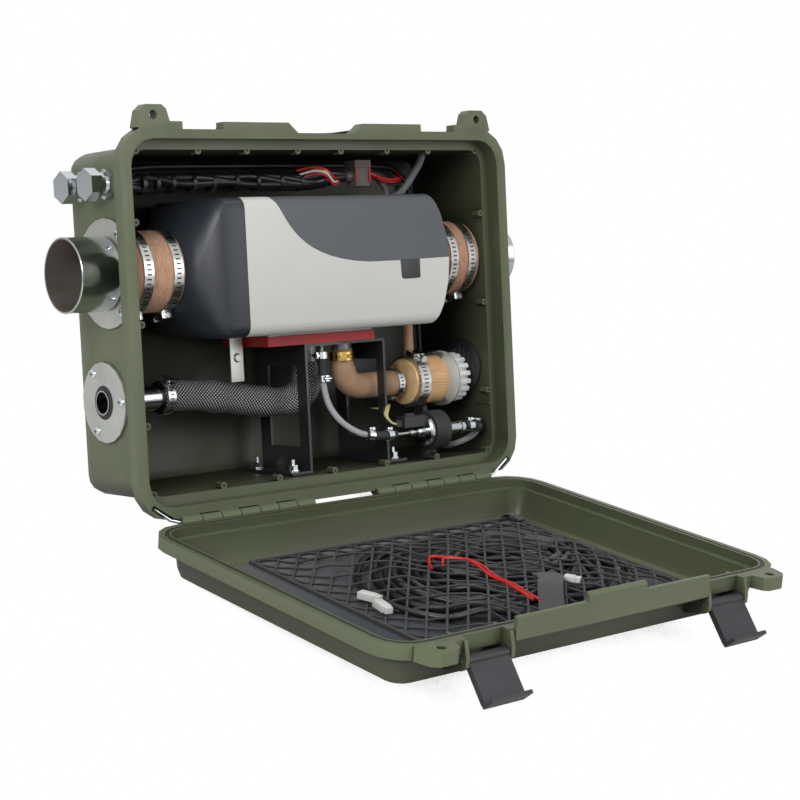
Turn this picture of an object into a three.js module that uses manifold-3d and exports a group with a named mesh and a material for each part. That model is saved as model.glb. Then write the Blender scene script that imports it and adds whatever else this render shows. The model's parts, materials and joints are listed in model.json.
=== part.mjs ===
// Diesel air heater built into a hard carry case, standing open on its hinge side.
// Millimetres, +Z up. The case is drawn in its own frame: X runs along the hinge, Y goes into
// the body from its rim, Z goes up the opening from its lower edge. The lid is drawn closed,
// on the -Y side of the rim, and is then turned about the hinge axis to its rest position.
import * as THREE from 'three';
import { mergeVertices } from 'three/addons/utils/BufferGeometryUtils.js';
import Module from 'manifold-3d';

const wasm = await Module();
wasm.setup();

// ---------------------------------------------------------------- driving dimensions
const gap = 0.3; // running clearance between touching pieces
const mouth = { width: 473, height: 357.5, radius: 26, depth: 16.6 };
const wall = { inset: 5, inner: 9.6, draft: 0.6, innerDraft: 1.2, thickness: 4 };
const flange = { width: 12.5, topWidth: 16.5, depth: 13, foot: 21 };
const body = { depth: 140, backRound: 24 };
const lid = { depth: 46, round: 20, step: 9, floor: 4 };
const seal = { inset: 4.2, width: 4, depth: 4.2 };
const boss = { radius: 3.8, inset: 10.6, length: 11 };
const hinge = { z: -15.3, radius: 5.6, rod: 1.8, first: 42, knuckle: 22.3, pitch: 23.2, count: 7 };
const latch = { x: 152, width: 46, y: -20, z: 374, length: 41, thickness: 6, pin: 1.8 };
const handle = { x: 62, y: 29.5, z: 362.2, reach: 42, bar: 13, thickness: 15, pin: 3 };
const foot = { x: 98, width: 36, drop: 25, front: 62, back: 137 };
const openAngle = THREE.MathUtils.degToRad(100.4); // lid stop, measured from closed
const latchOpen = THREE.MathUtils.degToRad(140);

const duct = { y: 62, z: 230, outer: 36.8, wall: 1.2, reach: 50, neck: 33, spigot: 37.2, inside: 38 };
const ductPlate = { radius: 54.4, thickness: 2.5, screwCircle: 46, screw: 4.2 };
const exhaust = { y: 80, z: 102.3, plate: 40.6, pipe: 12.5, bore: 11.2, grommet: 17, screwCircle: 33 };
const bulkhead = { z: 316.5, back: 97, front: 51, stem: 9, nut: 26, cap: 28 };
const vent = { y: 60, z: 106, flange: 31, sleeve: 25, bore: 22.5 };
const hose = { outer: 41, bore: 37.6 };
const band = { width: 11, thickness: 1.2 };
const round = { large: 24, medium: 18, small: 12 }; // sides of turned pieces

const heater = { halfDepth: 68, halfHeight: 70, corner: 12, shell: 3, left: -112, bulge: 22, right: 133 };
const hood = { end: -168, shell: 3, spigotEnd: -192 };
const collar = { start: 134, end: 178, spigotEnd: 192, radius: 64.6 };
const core = { left: -100, right: 58, radius: 50, fin: 6, fins: 14 };
const base = { left: -70, right: 66, front: 24, back: 102, drop: 2.4, gasket: 10 };
const port = { exhaustX: 14, exhaustY: 74, intakeX: 52, intakeY: 60, fuelX: 14, fuelY: 46 };
const wheel = { left: 142, width: 18, radius: 54, hub: 14, blades: 8 };
const motor = { left: 96, right: 134, radius: 26, shaft: 3 };

const bracket = { left: -20, right: 88, front: 30, back: 116, sheet: 3, foot: 24, floor: 10.9 };
const filter = { y: 60, z: 95, radius: 27, ring: 31.5, left: 134, right: 216, spigot: 11, band: 14 };
const pump = { y: 22, z: 42, radius: 13, tip: 88, left: 128, right: 158, stub: 3, flange: 18, mount: 21.5 };
const fuelLine = { radius: 3.3 };
const loom = { radius: 11, y: 80, z: 319 };
const tray = { matThickness: 4, matHalf: 205, matLow: 26, matHigh: 330 };
const coil = { x: 62, z: 165, halfLength: 88, halfWidth: 56, cord: 9, pitch: 10.2, loops: 3 };
const net = { left: -120, right: 196, low: 34, high: 326, strand: 2.4, thickness: 2, columns: 5, rows: 5 };

// ---------------------------------------------------------------- sizes worked out from them
const halfWidth = mouth.width / 2;
const halfHeight = mouth.height / 2;
const middleZ = halfHeight;
const wallX = halfWidth - wall.inset + gap; // outer face of the side walls, where plates sit
const innerX = halfWidth - wall.inner;
const heaterBottom = duct.z - heater.halfHeight;
const bracketTop = heaterBottom - base.drop - base.gasket - 2 * gap;

// ---------------------------------------------------------------- finishes
function finish(color, roughness, metalness = 0, extra = {}) {
  return new THREE.MeshStandardMaterial({ color, roughness, metalness, ...extra });
}
const olive = finish(0x47512f, 0.55);
const blackPlastic = finish(0x17181a, 0.5);
const charcoal = finish(0x3b3e42, 0.55);
const white = finish(0xd9dad6, 0.5);
const steel = finish(0xc9cbcc, 0.25, 1);
const plate = finish(0xc4c6c1, 0.4, 0.9);
const chrome = finish(0xd6dadd, 0.15, 1);
const aluminium = finish(0x9a9c9e, 0.5, 0.9);
const blackSteel = finish(0x101214, 0.45, 0.3);
const rubber = finish(0x15161a, 0.8);
const brownHose = finish(0xb07a58, 0.8);
const redGasket = finish(0xa5191c, 0.6);
const clearPlastic = finish(0xdfe3e2, 0.15, 0, { transparent: true, opacity: 0.45 });
const paper = finish(0xdda050, 0.85);
const greyHose = finish(0xa9adb0, 0.4);
const boardGreen = finish(0x1f5a34, 0.6);
const webbing = finish(0x101113, 0.9);

// ---------------------------------------------------------------- solids
function signedVolume(position, triangles) {
  const [a, b, c] = [new THREE.Vector3(), new THREE.Vector3(), new THREE.Vector3()];
  let sum = 0;
  for (let i = 0; i < triangles.length; i += 3) {
    a.fromBufferAttribute(position, triangles[i]);
    b.fromBufferAttribute(position, triangles[i + 1]);
    c.fromBufferAttribute(position, triangles[i + 2]);
    sum += a.dot(b.cross(c)) / 6;
  }
  return sum;
}

// A closed three.js geometry as a solid: vertices shared, slivers of no area left out.
function solid(geometry) {
  let plain = geometry.index ? geometry.toNonIndexed() : geometry.clone();
  plain.deleteAttribute('normal');
  plain.deleteAttribute('uv');
  plain = mergeVertices(plain, 1e-4);
  const triangles = [];
  for (let i = 0; i < plain.index.count; i += 3) {
    const [a, b, c] = [plain.index.getX(i), plain.index.getX(i + 1), plain.index.getX(i + 2)];
    if (a !== b && b !== c && c !== a) triangles.push(a, b, c);
  }
  if (signedVolume(plain.attributes.position, triangles) < 0) triangles.reverse();
  return new wasm.Manifold(new wasm.Mesh({
    numProp: 3,
    vertProperties: new Float32Array(plain.attributes.position.array),
    triVerts: new Uint32Array(triangles),
  }));
}

function geometryOf(shape) {
  const mesh = shape.getMesh();
  const geometry = new THREE.BufferGeometry();
  geometry.setAttribute('position', new THREE.BufferAttribute(new Float32Array(mesh.vertProperties), 3));
  geometry.setIndex(new THREE.BufferAttribute(new Uint32Array(mesh.triVerts), 1));
  geometry.computeVertexNormals();
  return geometry;
}

const join = (first, ...rest) => rest.reduce((sum, next) => sum.add(next), first);
const cut = (first, ...rest) => rest.reduce((sum, next) => sum.subtract(next), first);

function box(x0, x1, y0, y1, z0, z1) {
  const block = new THREE.BoxGeometry(x1 - x0, y1 - y0, z1 - z0);
  return solid(block.translate((x0 + x1) / 2, (y0 + y1) / 2, (z0 + z1) / 2));
}

// Revolved about an axis along X: profile points are [x, radius].
function turned(profile, segments, y = 0, z = 0) {
  const points = profile.map(([x, radius]) => new THREE.Vector2(radius, x));
  return solid(new THREE.LatheGeometry(points, segments).rotateZ(-Math.PI / 2).translate(0, y, z));
}

function tubeAlongX(x0, x1, bore, outer, segments, y = 0, z = 0) {
  const profile = [[x0, bore], [x1, bore], [x1, outer], [x0, outer], [x0, bore]];
  return turned(profile, segments, y, z);
}

function rodAlongX(x0, x1, radius, segments, y = 0, z = 0) {
  return turned([[x0, 0], [x0, radius], [x1, radius], [x1, 0]], segments, y, z);
}

function outline(points) {
  return new THREE.Shape(points.map(([u, v]) => new THREE.Vector2(u, v)));
}

function regular(sides, acrossFlats, turn = 0) {
  const radius = acrossFlats / 2 / Math.cos(Math.PI / sides);
  return Array.from({ length: sides }, (_, i) => {
    const angle = turn + (2 * Math.PI * i) / sides;
    return [radius * Math.cos(angle), radius * Math.sin(angle)];
  });
}

// A flat outline drawn in X and Z, thick from y0 to y1.
function prismY(shape, y0, y1, curveSegments = 6) {
  const block = new THREE.ExtrudeGeometry(shape, { depth: y1 - y0, bevelEnabled: false, curveSegments });
  return solid(block.rotateX(Math.PI / 2).translate(0, y1, 0));
}

// A flat outline drawn in Y and Z, thick from x0 to x1.
function prismX(shape, x0, x1) {
  const block = new THREE.ExtrudeGeometry(shape, { depth: x1 - x0, bevelEnabled: false, curveSegments: 6 });
  const turn = new THREE.Matrix4().makeBasis(
    new THREE.Vector3(0, 1, 0), new THREE.Vector3(0, 0, 1), new THREE.Vector3(1, 0, 0));
  return solid(block.applyMatrix4(turn).translate(x0, 0, 0));
}

// A tube or cord along points, with an optional bore.
function along(points, radius, sides, steps, bore = 0) {
  const circle = outline(regular(sides, 2 * radius * Math.cos(Math.PI / sides)));
  if (bore > 0) {
    const hole = regular(sides, 2 * bore).reverse();
    circle.holes.push(new THREE.Path(hole.map(([u, v]) => new THREE.Vector2(u, v))));
  }
  const path = new THREE.CatmullRomCurve3(points.map((p) => new THREE.Vector3(...p)), false, 'centripetal');
  return solid(new THREE.ExtrudeGeometry(circle, { extrudePath: path, steps, bevelEnabled: false }));
}

// A corner-rounded rectangle as a ring of points, the same number whatever its size.
const cornerSteps = 4;
function roundedRing(halfU, halfV, radius) {
  const points = [];
  const corners = [[1, 1], [-1, 1], [-1, -1], [1, -1]];
  corners.forEach(([su, sv], corner) => {
    for (let i = 0; i <= cornerSteps; i += 1) {
      const angle = (corner + i / cornerSteps) * (Math.PI / 2);
      const u = su * (halfU - radius) + radius * Math.cos(angle);
      const v = sv * (halfV - radius) + radius * Math.sin(angle);
      points.push([u, v]);
    }
  });
  return points;
}

// A closed skin through rings of points, with flat ends.
function loft(rings) {
  const count = rings[0].length;
  const index = [];
  for (let ring = 0; ring + 1 < rings.length; ring += 1) {
    for (let i = 0; i < count; i += 1) {
      const next = (i + 1) % count;
      const [a, b] = [ring * count + i, ring * count + next];
      index.push(a, b, b + count, a, b + count, a + count);
    }
  }
  const last = (rings.length - 1) * count;
  for (let i = 1; i + 1 < count; i += 1) index.push(0, i + 1, i, last, last + i, last + i + 1);
  const geometry = new THREE.BufferGeometry();
  geometry.setAttribute('position', new THREE.Float32BufferAttribute(rings.flat(2), 3));
  geometry.setIndex(index);
  return solid(geometry);
}

// Rings round the opening of the case: each is [y, inset from the opening's edge].
function caseLoft(sections, minRadius = 12) {
  return loft(sections.map(([y, inset]) => {
    const radius = Math.max(mouth.radius - inset, minRadius);
    return roundedRing(halfWidth - inset, halfHeight - inset, radius).map(([u, v]) => [u, y, v + middleZ]);
  }));
}

// Rings square to X: each is [x, half depth, half height, corner radius].
function heaterLoft(sections) {
  return loft(sections.map(([x, halfY, halfZ, radius]) => (
    roundedRing(halfY, halfZ, radius).map(([u, v]) => [x, u + duct.y, v + duct.z]))));
}

// ---------------------------------------------------------------- scene graph
const heaterCase = new THREE.Group();
const lidGroup = new THREE.Group();
lidGroup.position.set(0, 0, hinge.z);
heaterCase.add(lidGroup);

function add(name, shape, material, parent = heaterCase) {
  const mesh = new THREE.Mesh(geometryOf(shape), material);
  mesh.name = name;
  if (parent === lidGroup) mesh.position.set(0, 0, -hinge.z);
  parent.add(mesh);
  return mesh;
}

// ---------------------------------------------------------------- hinge
const knuckleAt = (side, i) => {
  const near = hinge.first + i * hinge.pitch;
  return side > 0 ? [near, near + hinge.knuckle] : [-near - hinge.knuckle, -near];
};
const hingeEnd = hinge.first + (hinge.count - 1) * hinge.pitch + hinge.knuckle;

// One leaf's knuckles: odd ones on the lid (away = -1), even ones on the body (away = 1).
function knuckles(away) {
  const parts = [];
  for (const side of [-1, 1]) {
    for (let i = away > 0 ? 0 : 1; i < hinge.count; i += 2) {
      const [x0, x1] = knuckleAt(side, i);
      const leaf = outline([[0, -hinge.radius], [away * 3, -5.1], [away * 11, 3.6], [0, 3.6]]);
      const arm = prismX(leaf, x0, x1).translate(0, 0, hinge.z);
      parts.push(join(rodAlongX(x0, x1, hinge.radius, round.small, 0, hinge.z), arm));
    }
  }
  return parts;
}

// Room for the other leaf's knuckles to turn in.
function knuckleRoom(away) {
  const parts = [];
  for (const side of [-1, 1]) {
    for (let i = away > 0 ? 1 : 0; i < hinge.count; i += 2) {
      const [x0, x1] = knuckleAt(side, i);
      parts.push(rodAlongX(x0 - 0.45, x1 + 0.45, hinge.radius + 0.8, round.small, 0, hinge.z));
    }
  }
  return parts;
}

// The hinge rod's outer end is bent up and lies in a slot in the body's rim.
function rodPath(side) {
  return [
    [side * (hinge.first - 3), 0, hinge.z],
    [side * (hingeEnd - 12), 0, hinge.z],
    [side * (hingeEnd + 1), 0, hinge.z],
    [side * (hingeEnd + 5), 1.2, hinge.z + 0.4],
    [side * (hingeEnd + 9), 2, hinge.z + 2.2],
    [side * (hingeEnd + 18), 2, hinge.z + 8.5],
    [side * (hingeEnd + 30), 2, hinge.z + 17],
  ];
}

function rodSlot(side) {
  const [x, z] = [side * hingeEnd, hinge.z];
  const run = [[1, -3], [10, -1], [20, 6.5], [33, 16], [29.5, 20], [16, 10.6], [6, 4.5], [1, 3.5]];
  return prismY(outline(run.map(([u, v]) => [x + side * u, z + v])), -1, 2 + hinge.rod + 2 * gap);
}

// ---------------------------------------------------------------- case body
const latchRoom = (side, y0, y1) => {
  const half = latch.width / 2 + 1;
  return box(side * latch.x - half, side * latch.x + half, y0, y1, latch.z - 7.5, latch.z + 20);
};

// The upper flange is wider, with a padlock ear near each corner.
function upperFlange(y0, y1) {
  const top = mouth.height + flange.topWidth;
  const low = mouth.height + 2;
  const strip = prismY(outline([[-222, low], [222, low], [212, top], [-212, top]]), y0, y1);
  const ears = [-1, 1].map((side) => {
    const ear = prismY(outline([
      [side * 190, top - 1], [side * 194, top + 12], [side * 199, top + 16],
      [side * 217, top + 16], [side * 224, top + 10], [side * 228, top - 6], [side * 214, top - 10],
    ]), y0, y1);
    const hole = new THREE.CylinderGeometry(4.5, 4.5, 60, 12).translate(side * 209, 0, top + 6);
    return cut(ear, solid(hole));
  });
  return join(strip, ...ears);
}

function screwBosses() {
  const { inset, radius, length } = boss;
  const places = [];
  for (const x of [-220, -148.5, -89.5, -25.5, 30.7, 93.3, 151.2, 220]) places.push([x, mouth.height - inset]);
  for (const x of [-221.5, -139.2, -69.5, 2.2, 73.1, 144.3, 220]) places.push([x, inset + 2]);
  for (const z of [80, 179, 278]) places.push([-halfWidth + inset + 1.6, z], [halfWidth - inset - 1.6, z]);
  return places.map(([x, z]) => {
    const post = new THREE.CylinderGeometry(radius, radius, length, 6);
    return solid(post.translate(x, mouth.depth + length / 2, z));
  });
}

function standFeet() {
  return [-1, 1].map((side) => {
    const x0 = side > 0 ? foot.x : -foot.x - foot.width;
    const side2d = outline([
      [foot.front, 12], [foot.front, 5], [foot.back - 36, 2 - foot.drop],
      [foot.back - 26, -foot.drop], [foot.back - 6, -foot.drop], [foot.back, 5 - foot.drop], [foot.back, 12],
    ]);
    return prismX(side2d, x0, x0 + foot.width);
  });
}

function handleLugs() {
  return [-1, 1].map((side) => {
    const shape = outline([
      [handle.y - 9, 346], [handle.y - 6, handle.z + 4], [handle.y - 2, handle.z + 7],
      [handle.y + 2, handle.z + 7], [handle.y + 6, handle.z + 4], [handle.y + 9, 346],
    ]);
    const x0 = side > 0 ? handle.x + 4 : -handle.x - 13;
    const lug = prismX(shape, x0, x0 + 9);
    return cut(lug, rodAlongX(x0 - 1, x0 + 10, handle.pin + gap, 12, handle.y, handle.z));
  });
}

function caseBody() {
  const outer = caseLoft([
    [0, -flange.width], [flange.depth, -flange.width], [flange.foot, wall.inset],
    [body.depth - 24, wall.inset + wall.draft], [body.depth - 12, wall.inset + wall.draft + 2],
    [body.depth - 4, wall.inset + wall.draft + 7], [body.depth, body.backRound - 8],
  ]);
  const recess = caseLoft([[-1, 0], [mouth.depth, 0]]);
  const cavity = caseLoft([
    [mouth.depth - 1, wall.inner], [body.depth - 22, wall.inner + wall.innerDraft],
    [body.depth - 10, wall.inner + 4], [body.depth - wall.thickness, wall.inner + 12],
  ]);
  const handleDip = prismY(outline([[-36, 363.3], [36, 363.3], [50, 376], [-50, 376]]), -1, 30);
  const rims = upperFlange(0, flange.depth);
  const shell = cut(join(outer, rims, ...standFeet(), ...handleLugs()), recess, cavity);
  const holes = [
    rodAlongX(-halfWidth - 9, -innerX + 9, duct.spigot + gap, round.large, duct.y, duct.z),
    rodAlongX(innerX - 9, halfWidth + 9, duct.spigot + gap, round.large, duct.y, duct.z),
    rodAlongX(-halfWidth - 9, -innerX + 9, exhaust.grommet + gap, round.medium, exhaust.y, exhaust.z),
    rodAlongX(-halfWidth - 9, -innerX + 9, bulkhead.stem + gap, round.small, bulkhead.back, bulkhead.z),
    rodAlongX(-halfWidth - 9, -innerX + 9, bulkhead.stem + gap, round.small, bulkhead.front, bulkhead.z),
    rodAlongX(innerX - 9, halfWidth + 9, vent.sleeve + gap, round.medium, vent.y, vent.z),
  ];
  const ribs = [16, 65, 81].flatMap((z) => [-1, 1].map((side) => {
    const x = side * innerX;
    return box(Math.min(x, x - side * 2), Math.max(x, x - side * 2) + 0.5, 17, 40, z - 1, z + 1);
  }));
  let part = cut(join(shell, ...screwBosses()), ...holes, handleDip);
  part = cut(part, latchRoom(-1, -1, 40), latchRoom(1, -1, 40), ...knuckleRoom(1));
  part = join(part, ...knuckles(1), ribs[1], ribs[3], ribs[5]);
  const bores = rodAlongX(-hingeEnd - 1, hingeEnd + 1, hinge.rod + gap + 0.2, 6, 0, hinge.z);
  return cut(part, bores, rodSlot(-1), rodSlot(1));
}
add('case_body', caseBody(), olive);

// ---------------------------------------------------------------- lid
function latchCheeks() {
  const half = latch.width / 2 + 1;
  return [-1, 1].flatMap((side) => [-half - 4, half].map((offset) => {
    const shape = outline([
      [-1, 352], [-1, latch.z + 2], [latch.y + 4, latch.z + 6], [latch.y - 4, latch.z + 6],
      [latch.y - 8, latch.z + 1], [latch.y - 14, 350],
    ]);
    const x0 = side * latch.x + offset;
    return prismX(shape, x0, x0 + 4);
  }));
}

function caseLid() {
  const outer = caseLoft([
    [-gap, -flange.width], [-flange.depth, -flange.width], [-flange.foot, wall.inset],
    [-lid.depth + 13, wall.inset + 2], [-lid.depth + 4, wall.inset + 6], [-lid.depth, lid.round],
  ]);
  const recess = caseLoft([[1, 0], [-lid.step, 0]]);
  const tub = caseLoft([
    [-lid.step + 1, wall.inner - 1], [-lid.depth + 16, wall.inner + 1],
    [-lid.depth + 8, wall.inner + 4], [-lid.depth + lid.floor, wall.inner + 12],
  ]);
  const grooveOuter = caseLoft([[1, -seal.inset - seal.width / 2], [-gap - seal.depth - 0.6, -seal.inset - seal.width / 2]]);
  const grooveInner = caseLoft([[2, -seal.inset + seal.width / 2], [-20, -seal.inset + seal.width / 2]]);
  const groove = cut(grooveOuter, grooveInner);
  const top = mouth.height + flange.topWidth;
  const lipReach = latch.x - latch.width / 2 - 6;
  const lip = prismX(outline([
    [-flange.depth, 360], [-flange.depth, top + 0.5], [-10, top + 4.5], [10, top + 4.5], [11, top + 3.5],
    [11, top + 0.5], [-gap, top + 0.5], [-gap, 360],
  ]), -lipReach, lipReach);
  const tongue = prismX(outline([
    [-9, top + 0.5], [-9, top + 4.5], [16, top + 4.5], [19, top + 2], [19, top + 0.5],
  ]), -37, 37);
  const shell = join(outer, upperFlange(-flange.depth, -gap), lip, tongue);
  let part = cut(shell, recess, tub);
  part = cut(part, latchRoom(-1, -40, 12), latchRoom(1, -40, 12), ...knuckleRoom(-1));
  part = join(part, ...knuckles(-1), ...latchCheeks());
  const pins = [-1, 1].map((side) => rodAlongX(
    side * latch.x - 40, side * latch.x + 40, latch.pin + gap, 10, latch.y, latch.z));
  return cut(part, groove, rodAlongX(-hingeEnd - 1, hingeEnd + 1, hinge.rod + gap + 0.2, 6, 0, hinge.z), ...pins);
}
add('case_lid', caseLid(), olive, lidGroup);

function lidSeal() {
  const slack = 0.3;
  const outerInset = -seal.inset - seal.width / 2 + slack;
  const innerInset = -seal.inset + seal.width / 2 - slack;
  const [y0, y1] = [-gap - seal.depth, -gap - 0.5];
  return cut(caseLoft([[y0, outerInset], [y1, outerInset]]), caseLoft([[y0 - 1, innerInset], [y1 + 1, innerInset]]));
}
add('lid_seal', lidSeal(), rubber, lidGroup);

for (const [side, label] of [[-1, 'left'], [1, 'right']]) {
  const rod = along(rodPath(side), hinge.rod, 6, 17);
  add(`hinge_rod_${label}`, rod, steel);
}

function latchLever() {
  const half = latch.thickness / 2;
  const profile = outline([
    [0, -half], [latch.length - 2, -half], [latch.length - 2, -12.5], [latch.length + 1.5, -12.5],
    [latch.length + 2, half - 1], [latch.length - 3, half], [12, half], [0, half],
  ]);
  const x = latch.width / 2;
  const lever = join(prismX(profile, -x, x), rodAlongX(-x, x, 5, 14));
  return cut(lever, rodAlongX(-x - 1, x + 1, latch.pin + gap, 10), box(-x + 10, x - 10, 10, 34, 1.2, 6));
}
for (const [side, label] of [[-1, 'left'], [1, 'right']]) {
  const pivot = new THREE.Group();
  pivot.position.set(side * latch.x, latch.y, latch.z - hinge.z);
  pivot.rotation.x = latchOpen;
  lidGroup.add(pivot);
  add(`latch_${label}`, latchLever(), blackPlastic, pivot);
  const reach = latch.width / 2 + 4.5;
  const pin = rodAlongX(side * latch.x - reach, side * latch.x + reach, latch.pin, 10, latch.y, latch.z);
  add(`latch_pin_${label}`, pin, steel, lidGroup);
}

// ---------------------------------------------------------------- carry handle, folded flat
function carryHandle() {
  const { x, reach, bar, thickness } = handle;
  const outerEdge = outline([
    [-x - 3, -5], [-x - 3, reach], [-x + 6, reach + bar], [x - 6, reach + bar], [x + 3, reach], [x + 3, -5],
    [x - 6, -5], [x - 6, reach - 10], [x - 14, reach - 2], [-x + 14, reach - 2], [-x + 6, reach - 10], [-x + 6, -5],
  ]);
  const grip = new THREE.ExtrudeGeometry(outerEdge, { depth: thickness, bevelEnabled: false });
  const pins = [-1, 1].map((side) => rodAlongX(
    Math.min(side * (x + 2), side * (x + 11)), Math.max(side * (x + 2), side * (x + 11)), handle.pin, 12));
  return join(solid(grip.translate(0, 0, -thickness / 2)), ...pins);
}
const handlePivot = new THREE.Group();
handlePivot.position.set(0, handle.y, handle.z);
heaterCase.add(handlePivot);
add('carry_handle', carryHandle(), blackPlastic, handlePivot);

// ---------------------------------------------------------------- wall fittings
// Fittings are turned about X. Outward distance u from a side wall becomes x = side * (wallX + u).
const outward = (side, profile) => profile.map(([u, radius]) => [side * (wallX + u), radius]);

function screwHeads(side, u, circle, angles, y, z) {
  return angles.map((degrees) => {
    const angle = THREE.MathUtils.degToRad(degrees);
    const [cy, cz] = [y + circle * Math.cos(angle), z + circle * Math.sin(angle)];
    const head = outward(side, [[u - 0.5, 0], [u - 0.5, ductPlate.screw], [u + 1.6, ductPlate.screw - 0.8], [u + 2.2, 0]]);
    return turned(head, 6, cy, cz);
  });
}

function ductFlange(side) {
  const { radius, thickness, screwCircle } = ductPlate;
  const bore = duct.neck + gap;
  const profile = outward(side, [
    [thickness, bore], [thickness, radius], [0, radius], [0, duct.spigot], [-duct.inside + 3, duct.spigot],
    [-duct.inside, duct.spigot - 1], [-duct.inside, bore], [thickness, bore],
  ]);
  const heads = screwHeads(side, thickness, screwCircle, [0, 125, 235], duct.y, duct.z);
  const rim = box(side * wallX - 9, side * wallX + 9, -20, flange.foot + gap, duct.z - 60, duct.z + 60);
  return join(cut(turned(profile, round.large, duct.y, duct.z), rim), ...heads);
}

function ductPipe(side) {
  const { outer, wall: sheet, reach, neck } = duct;
  const profile = outward(side, [
    [-12, neck], [9, neck], [21, outer], [reach, outer], [reach, outer - sheet],
    [21.5, outer - sheet], [9.5, neck - sheet], [-12, neck - sheet], [-12, neck],
  ]);
  return turned(profile, round.large, duct.y, duct.z);
}
add('hot_air_outlet_flange', ductFlange(-1), plate);
add('hot_air_outlet_pipe', ductPipe(-1), steel);
add('cold_air_inlet_flange', ductFlange(1), plate);
add('cold_air_inlet_pipe', ductPipe(1), steel);

function exhaustPlate() {
  const bore = exhaust.grommet + gap;
  const profile = outward(-1, [[0, bore], [2.5, bore], [2.5, exhaust.plate], [0, exhaust.plate], [0, bore]]);
  const heads = screwHeads(-1, 2.5, exhaust.screwCircle, [178, 58, -62], exhaust.y, exhaust.z);
  return join(turned(profile, round.medium, exhaust.y, exhaust.z), ...heads);
}
const grommetBore = exhaust.pipe + gap;
const grommetRing = outward(-1, [
  [-7, grommetBore], [3.6, grommetBore], [3.6, exhaust.grommet - 1.5], [2.8, exhaust.grommet],
  [-7, exhaust.grommet], [-7, grommetBore],
]);
const tailpipe = outward(-1, [
  [-80, exhaust.bore], [4.6, exhaust.bore], [4.6, exhaust.pipe], [-80, exhaust.pipe], [-80, exhaust.bore],
]);
add('exhaust_flange_plate', exhaustPlate(), plate);
add('exhaust_grommet', turned(grommetRing, round.medium, exhaust.y, exhaust.z), rubber);
add('exhaust_outlet_pipe', turned(tailpipe, round.medium, exhaust.y, exhaust.z), chrome);

function hexAlongX(acrossFlats, x0, x1) {
  return prismX(outline(regular(6, acrossFlats, Math.PI / 6)), Math.min(x0, x1), Math.max(x0, x1));
}
// Inner face of a side wall at a depth, as an outward distance: the walls thin a little backwards.
const insideAt = (y) => innerX - wallX - wall.innerDraft * ((y - mouth.depth) / (body.depth - 22 - mouth.depth));

function bulkheadFitting(y) {
  const stem = turned(outward(-1, [[-18, 0], [-18, 6], [-12, 6], [-12, bulkhead.stem], [22, bulkhead.stem], [22, 0]]), round.small);
  const outerNut = hexAlongX(bulkhead.nut, -wallX, -wallX - 6);
  const inside = insideAt(y + bulkhead.nut / 2) - gap;
  const innerNut = hexAlongX(bulkhead.nut, -wallX - inside, -wallX - inside + 5.2);
  return join(stem, outerNut, innerNut);
}

function bulkheadCap() {
  const collarRing = turned(outward(-1, [[10, 0], [10, 12.5], [16, 12.5], [16, 0]]), round.small);
  const bore = turned(outward(-1, [[9, 0], [9, bulkhead.stem + gap], [22 + gap, bulkhead.stem + gap], [22 + gap, 0]]), round.small);
  return cut(join(hexAlongX(bulkhead.cap, -wallX - 15, -wallX - 27), collarRing), bore);
}
for (const [label, y] of [['fuel', bulkhead.back], ['power', bulkhead.front]]) {
  const place = new THREE.Group();
  place.position.set(0, y, bulkhead.z);
  heaterCase.add(place);
  add(`${label}_bulkhead_fitting`, bulkheadFitting(y), chrome, place);
  add(`${label}_bulkhead_cap`, bulkheadCap(), chrome, place);
}

function intakeVent() {
  const inside = insideAt(vent.y + vent.flange) - gap;
  const ring = turned(outward(1, [
    [inside, vent.sleeve], [1.8, vent.sleeve], [1.8, vent.bore], [inside - 3, vent.bore],
    [inside - 3, vent.flange - 2], [inside - 2, vent.flange], [inside, vent.flange], [inside, vent.sleeve],
  ]), round.medium, vent.y, vent.z);
  const bars = [-14, -7, 0, 7, 14].map((offset) => box(
    wallX + inside - 1, wallX + 1, vent.y + offset - 1, vent.y + offset + 1, vent.z - 24, vent.z + 24));
  const reach = rodAlongX(wallX - 20, wallX + 20, vent.bore + 0.5, round.medium, vent.y, vent.z);
  return join(ring, ...bars.map((bar) => bar.intersect(reach)));
}
add('intake_vent', intakeVent(), blackPlastic);

// ---------------------------------------------------------------- ducts inside the case
const plainHose = (x0, x1) => tubeAlongX(x0, x1, hose.bore, hose.outer, round.large, duct.y, duct.z);

// A worm-drive band: a thin ring with its screw housing below.
function hoseBand(radius, width, tilt, segments) {
  const half = width / 2;
  const clear = (radius + gap) / Math.cos(Math.PI / segments);
  const ring = tubeAlongX(-half, half, clear, clear + band.thickness, segments);
  const housing = box(-half, half, -6, 7, radius + 0.8, radius + 6.5);
  const bore = rodAlongX(-half - 2, half + 2, clear, segments);
  return cut(join(ring, housing), bore).rotate([tilt, 0, 0]);
}
const hoseLeft = -innerX + gap + 4;
const outletHose = [hoseLeft, hood.end - gap];
const inletHose = [collar.end + gap, -hoseLeft];
add('hot_air_hose', plainHose(...outletHose), brownHose);
add('cold_air_hose', plainHose(...inletHose), brownHose);
const bandPlaces = [
  ['hot_air_band_wall', outletHose[0] + 12], ['hot_air_band_heater', outletHose[1] - 8],
  ['cold_air_band_heater', inletHose[0] + 8], ['cold_air_band_wall', inletHose[1] - 10],
];
for (const [name, x] of bandPlaces) {
  const shape = hoseBand(hose.outer, band.width, 170, round.large).translate(x, duct.y, duct.z);
  add(name, shape, steel);
}

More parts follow.
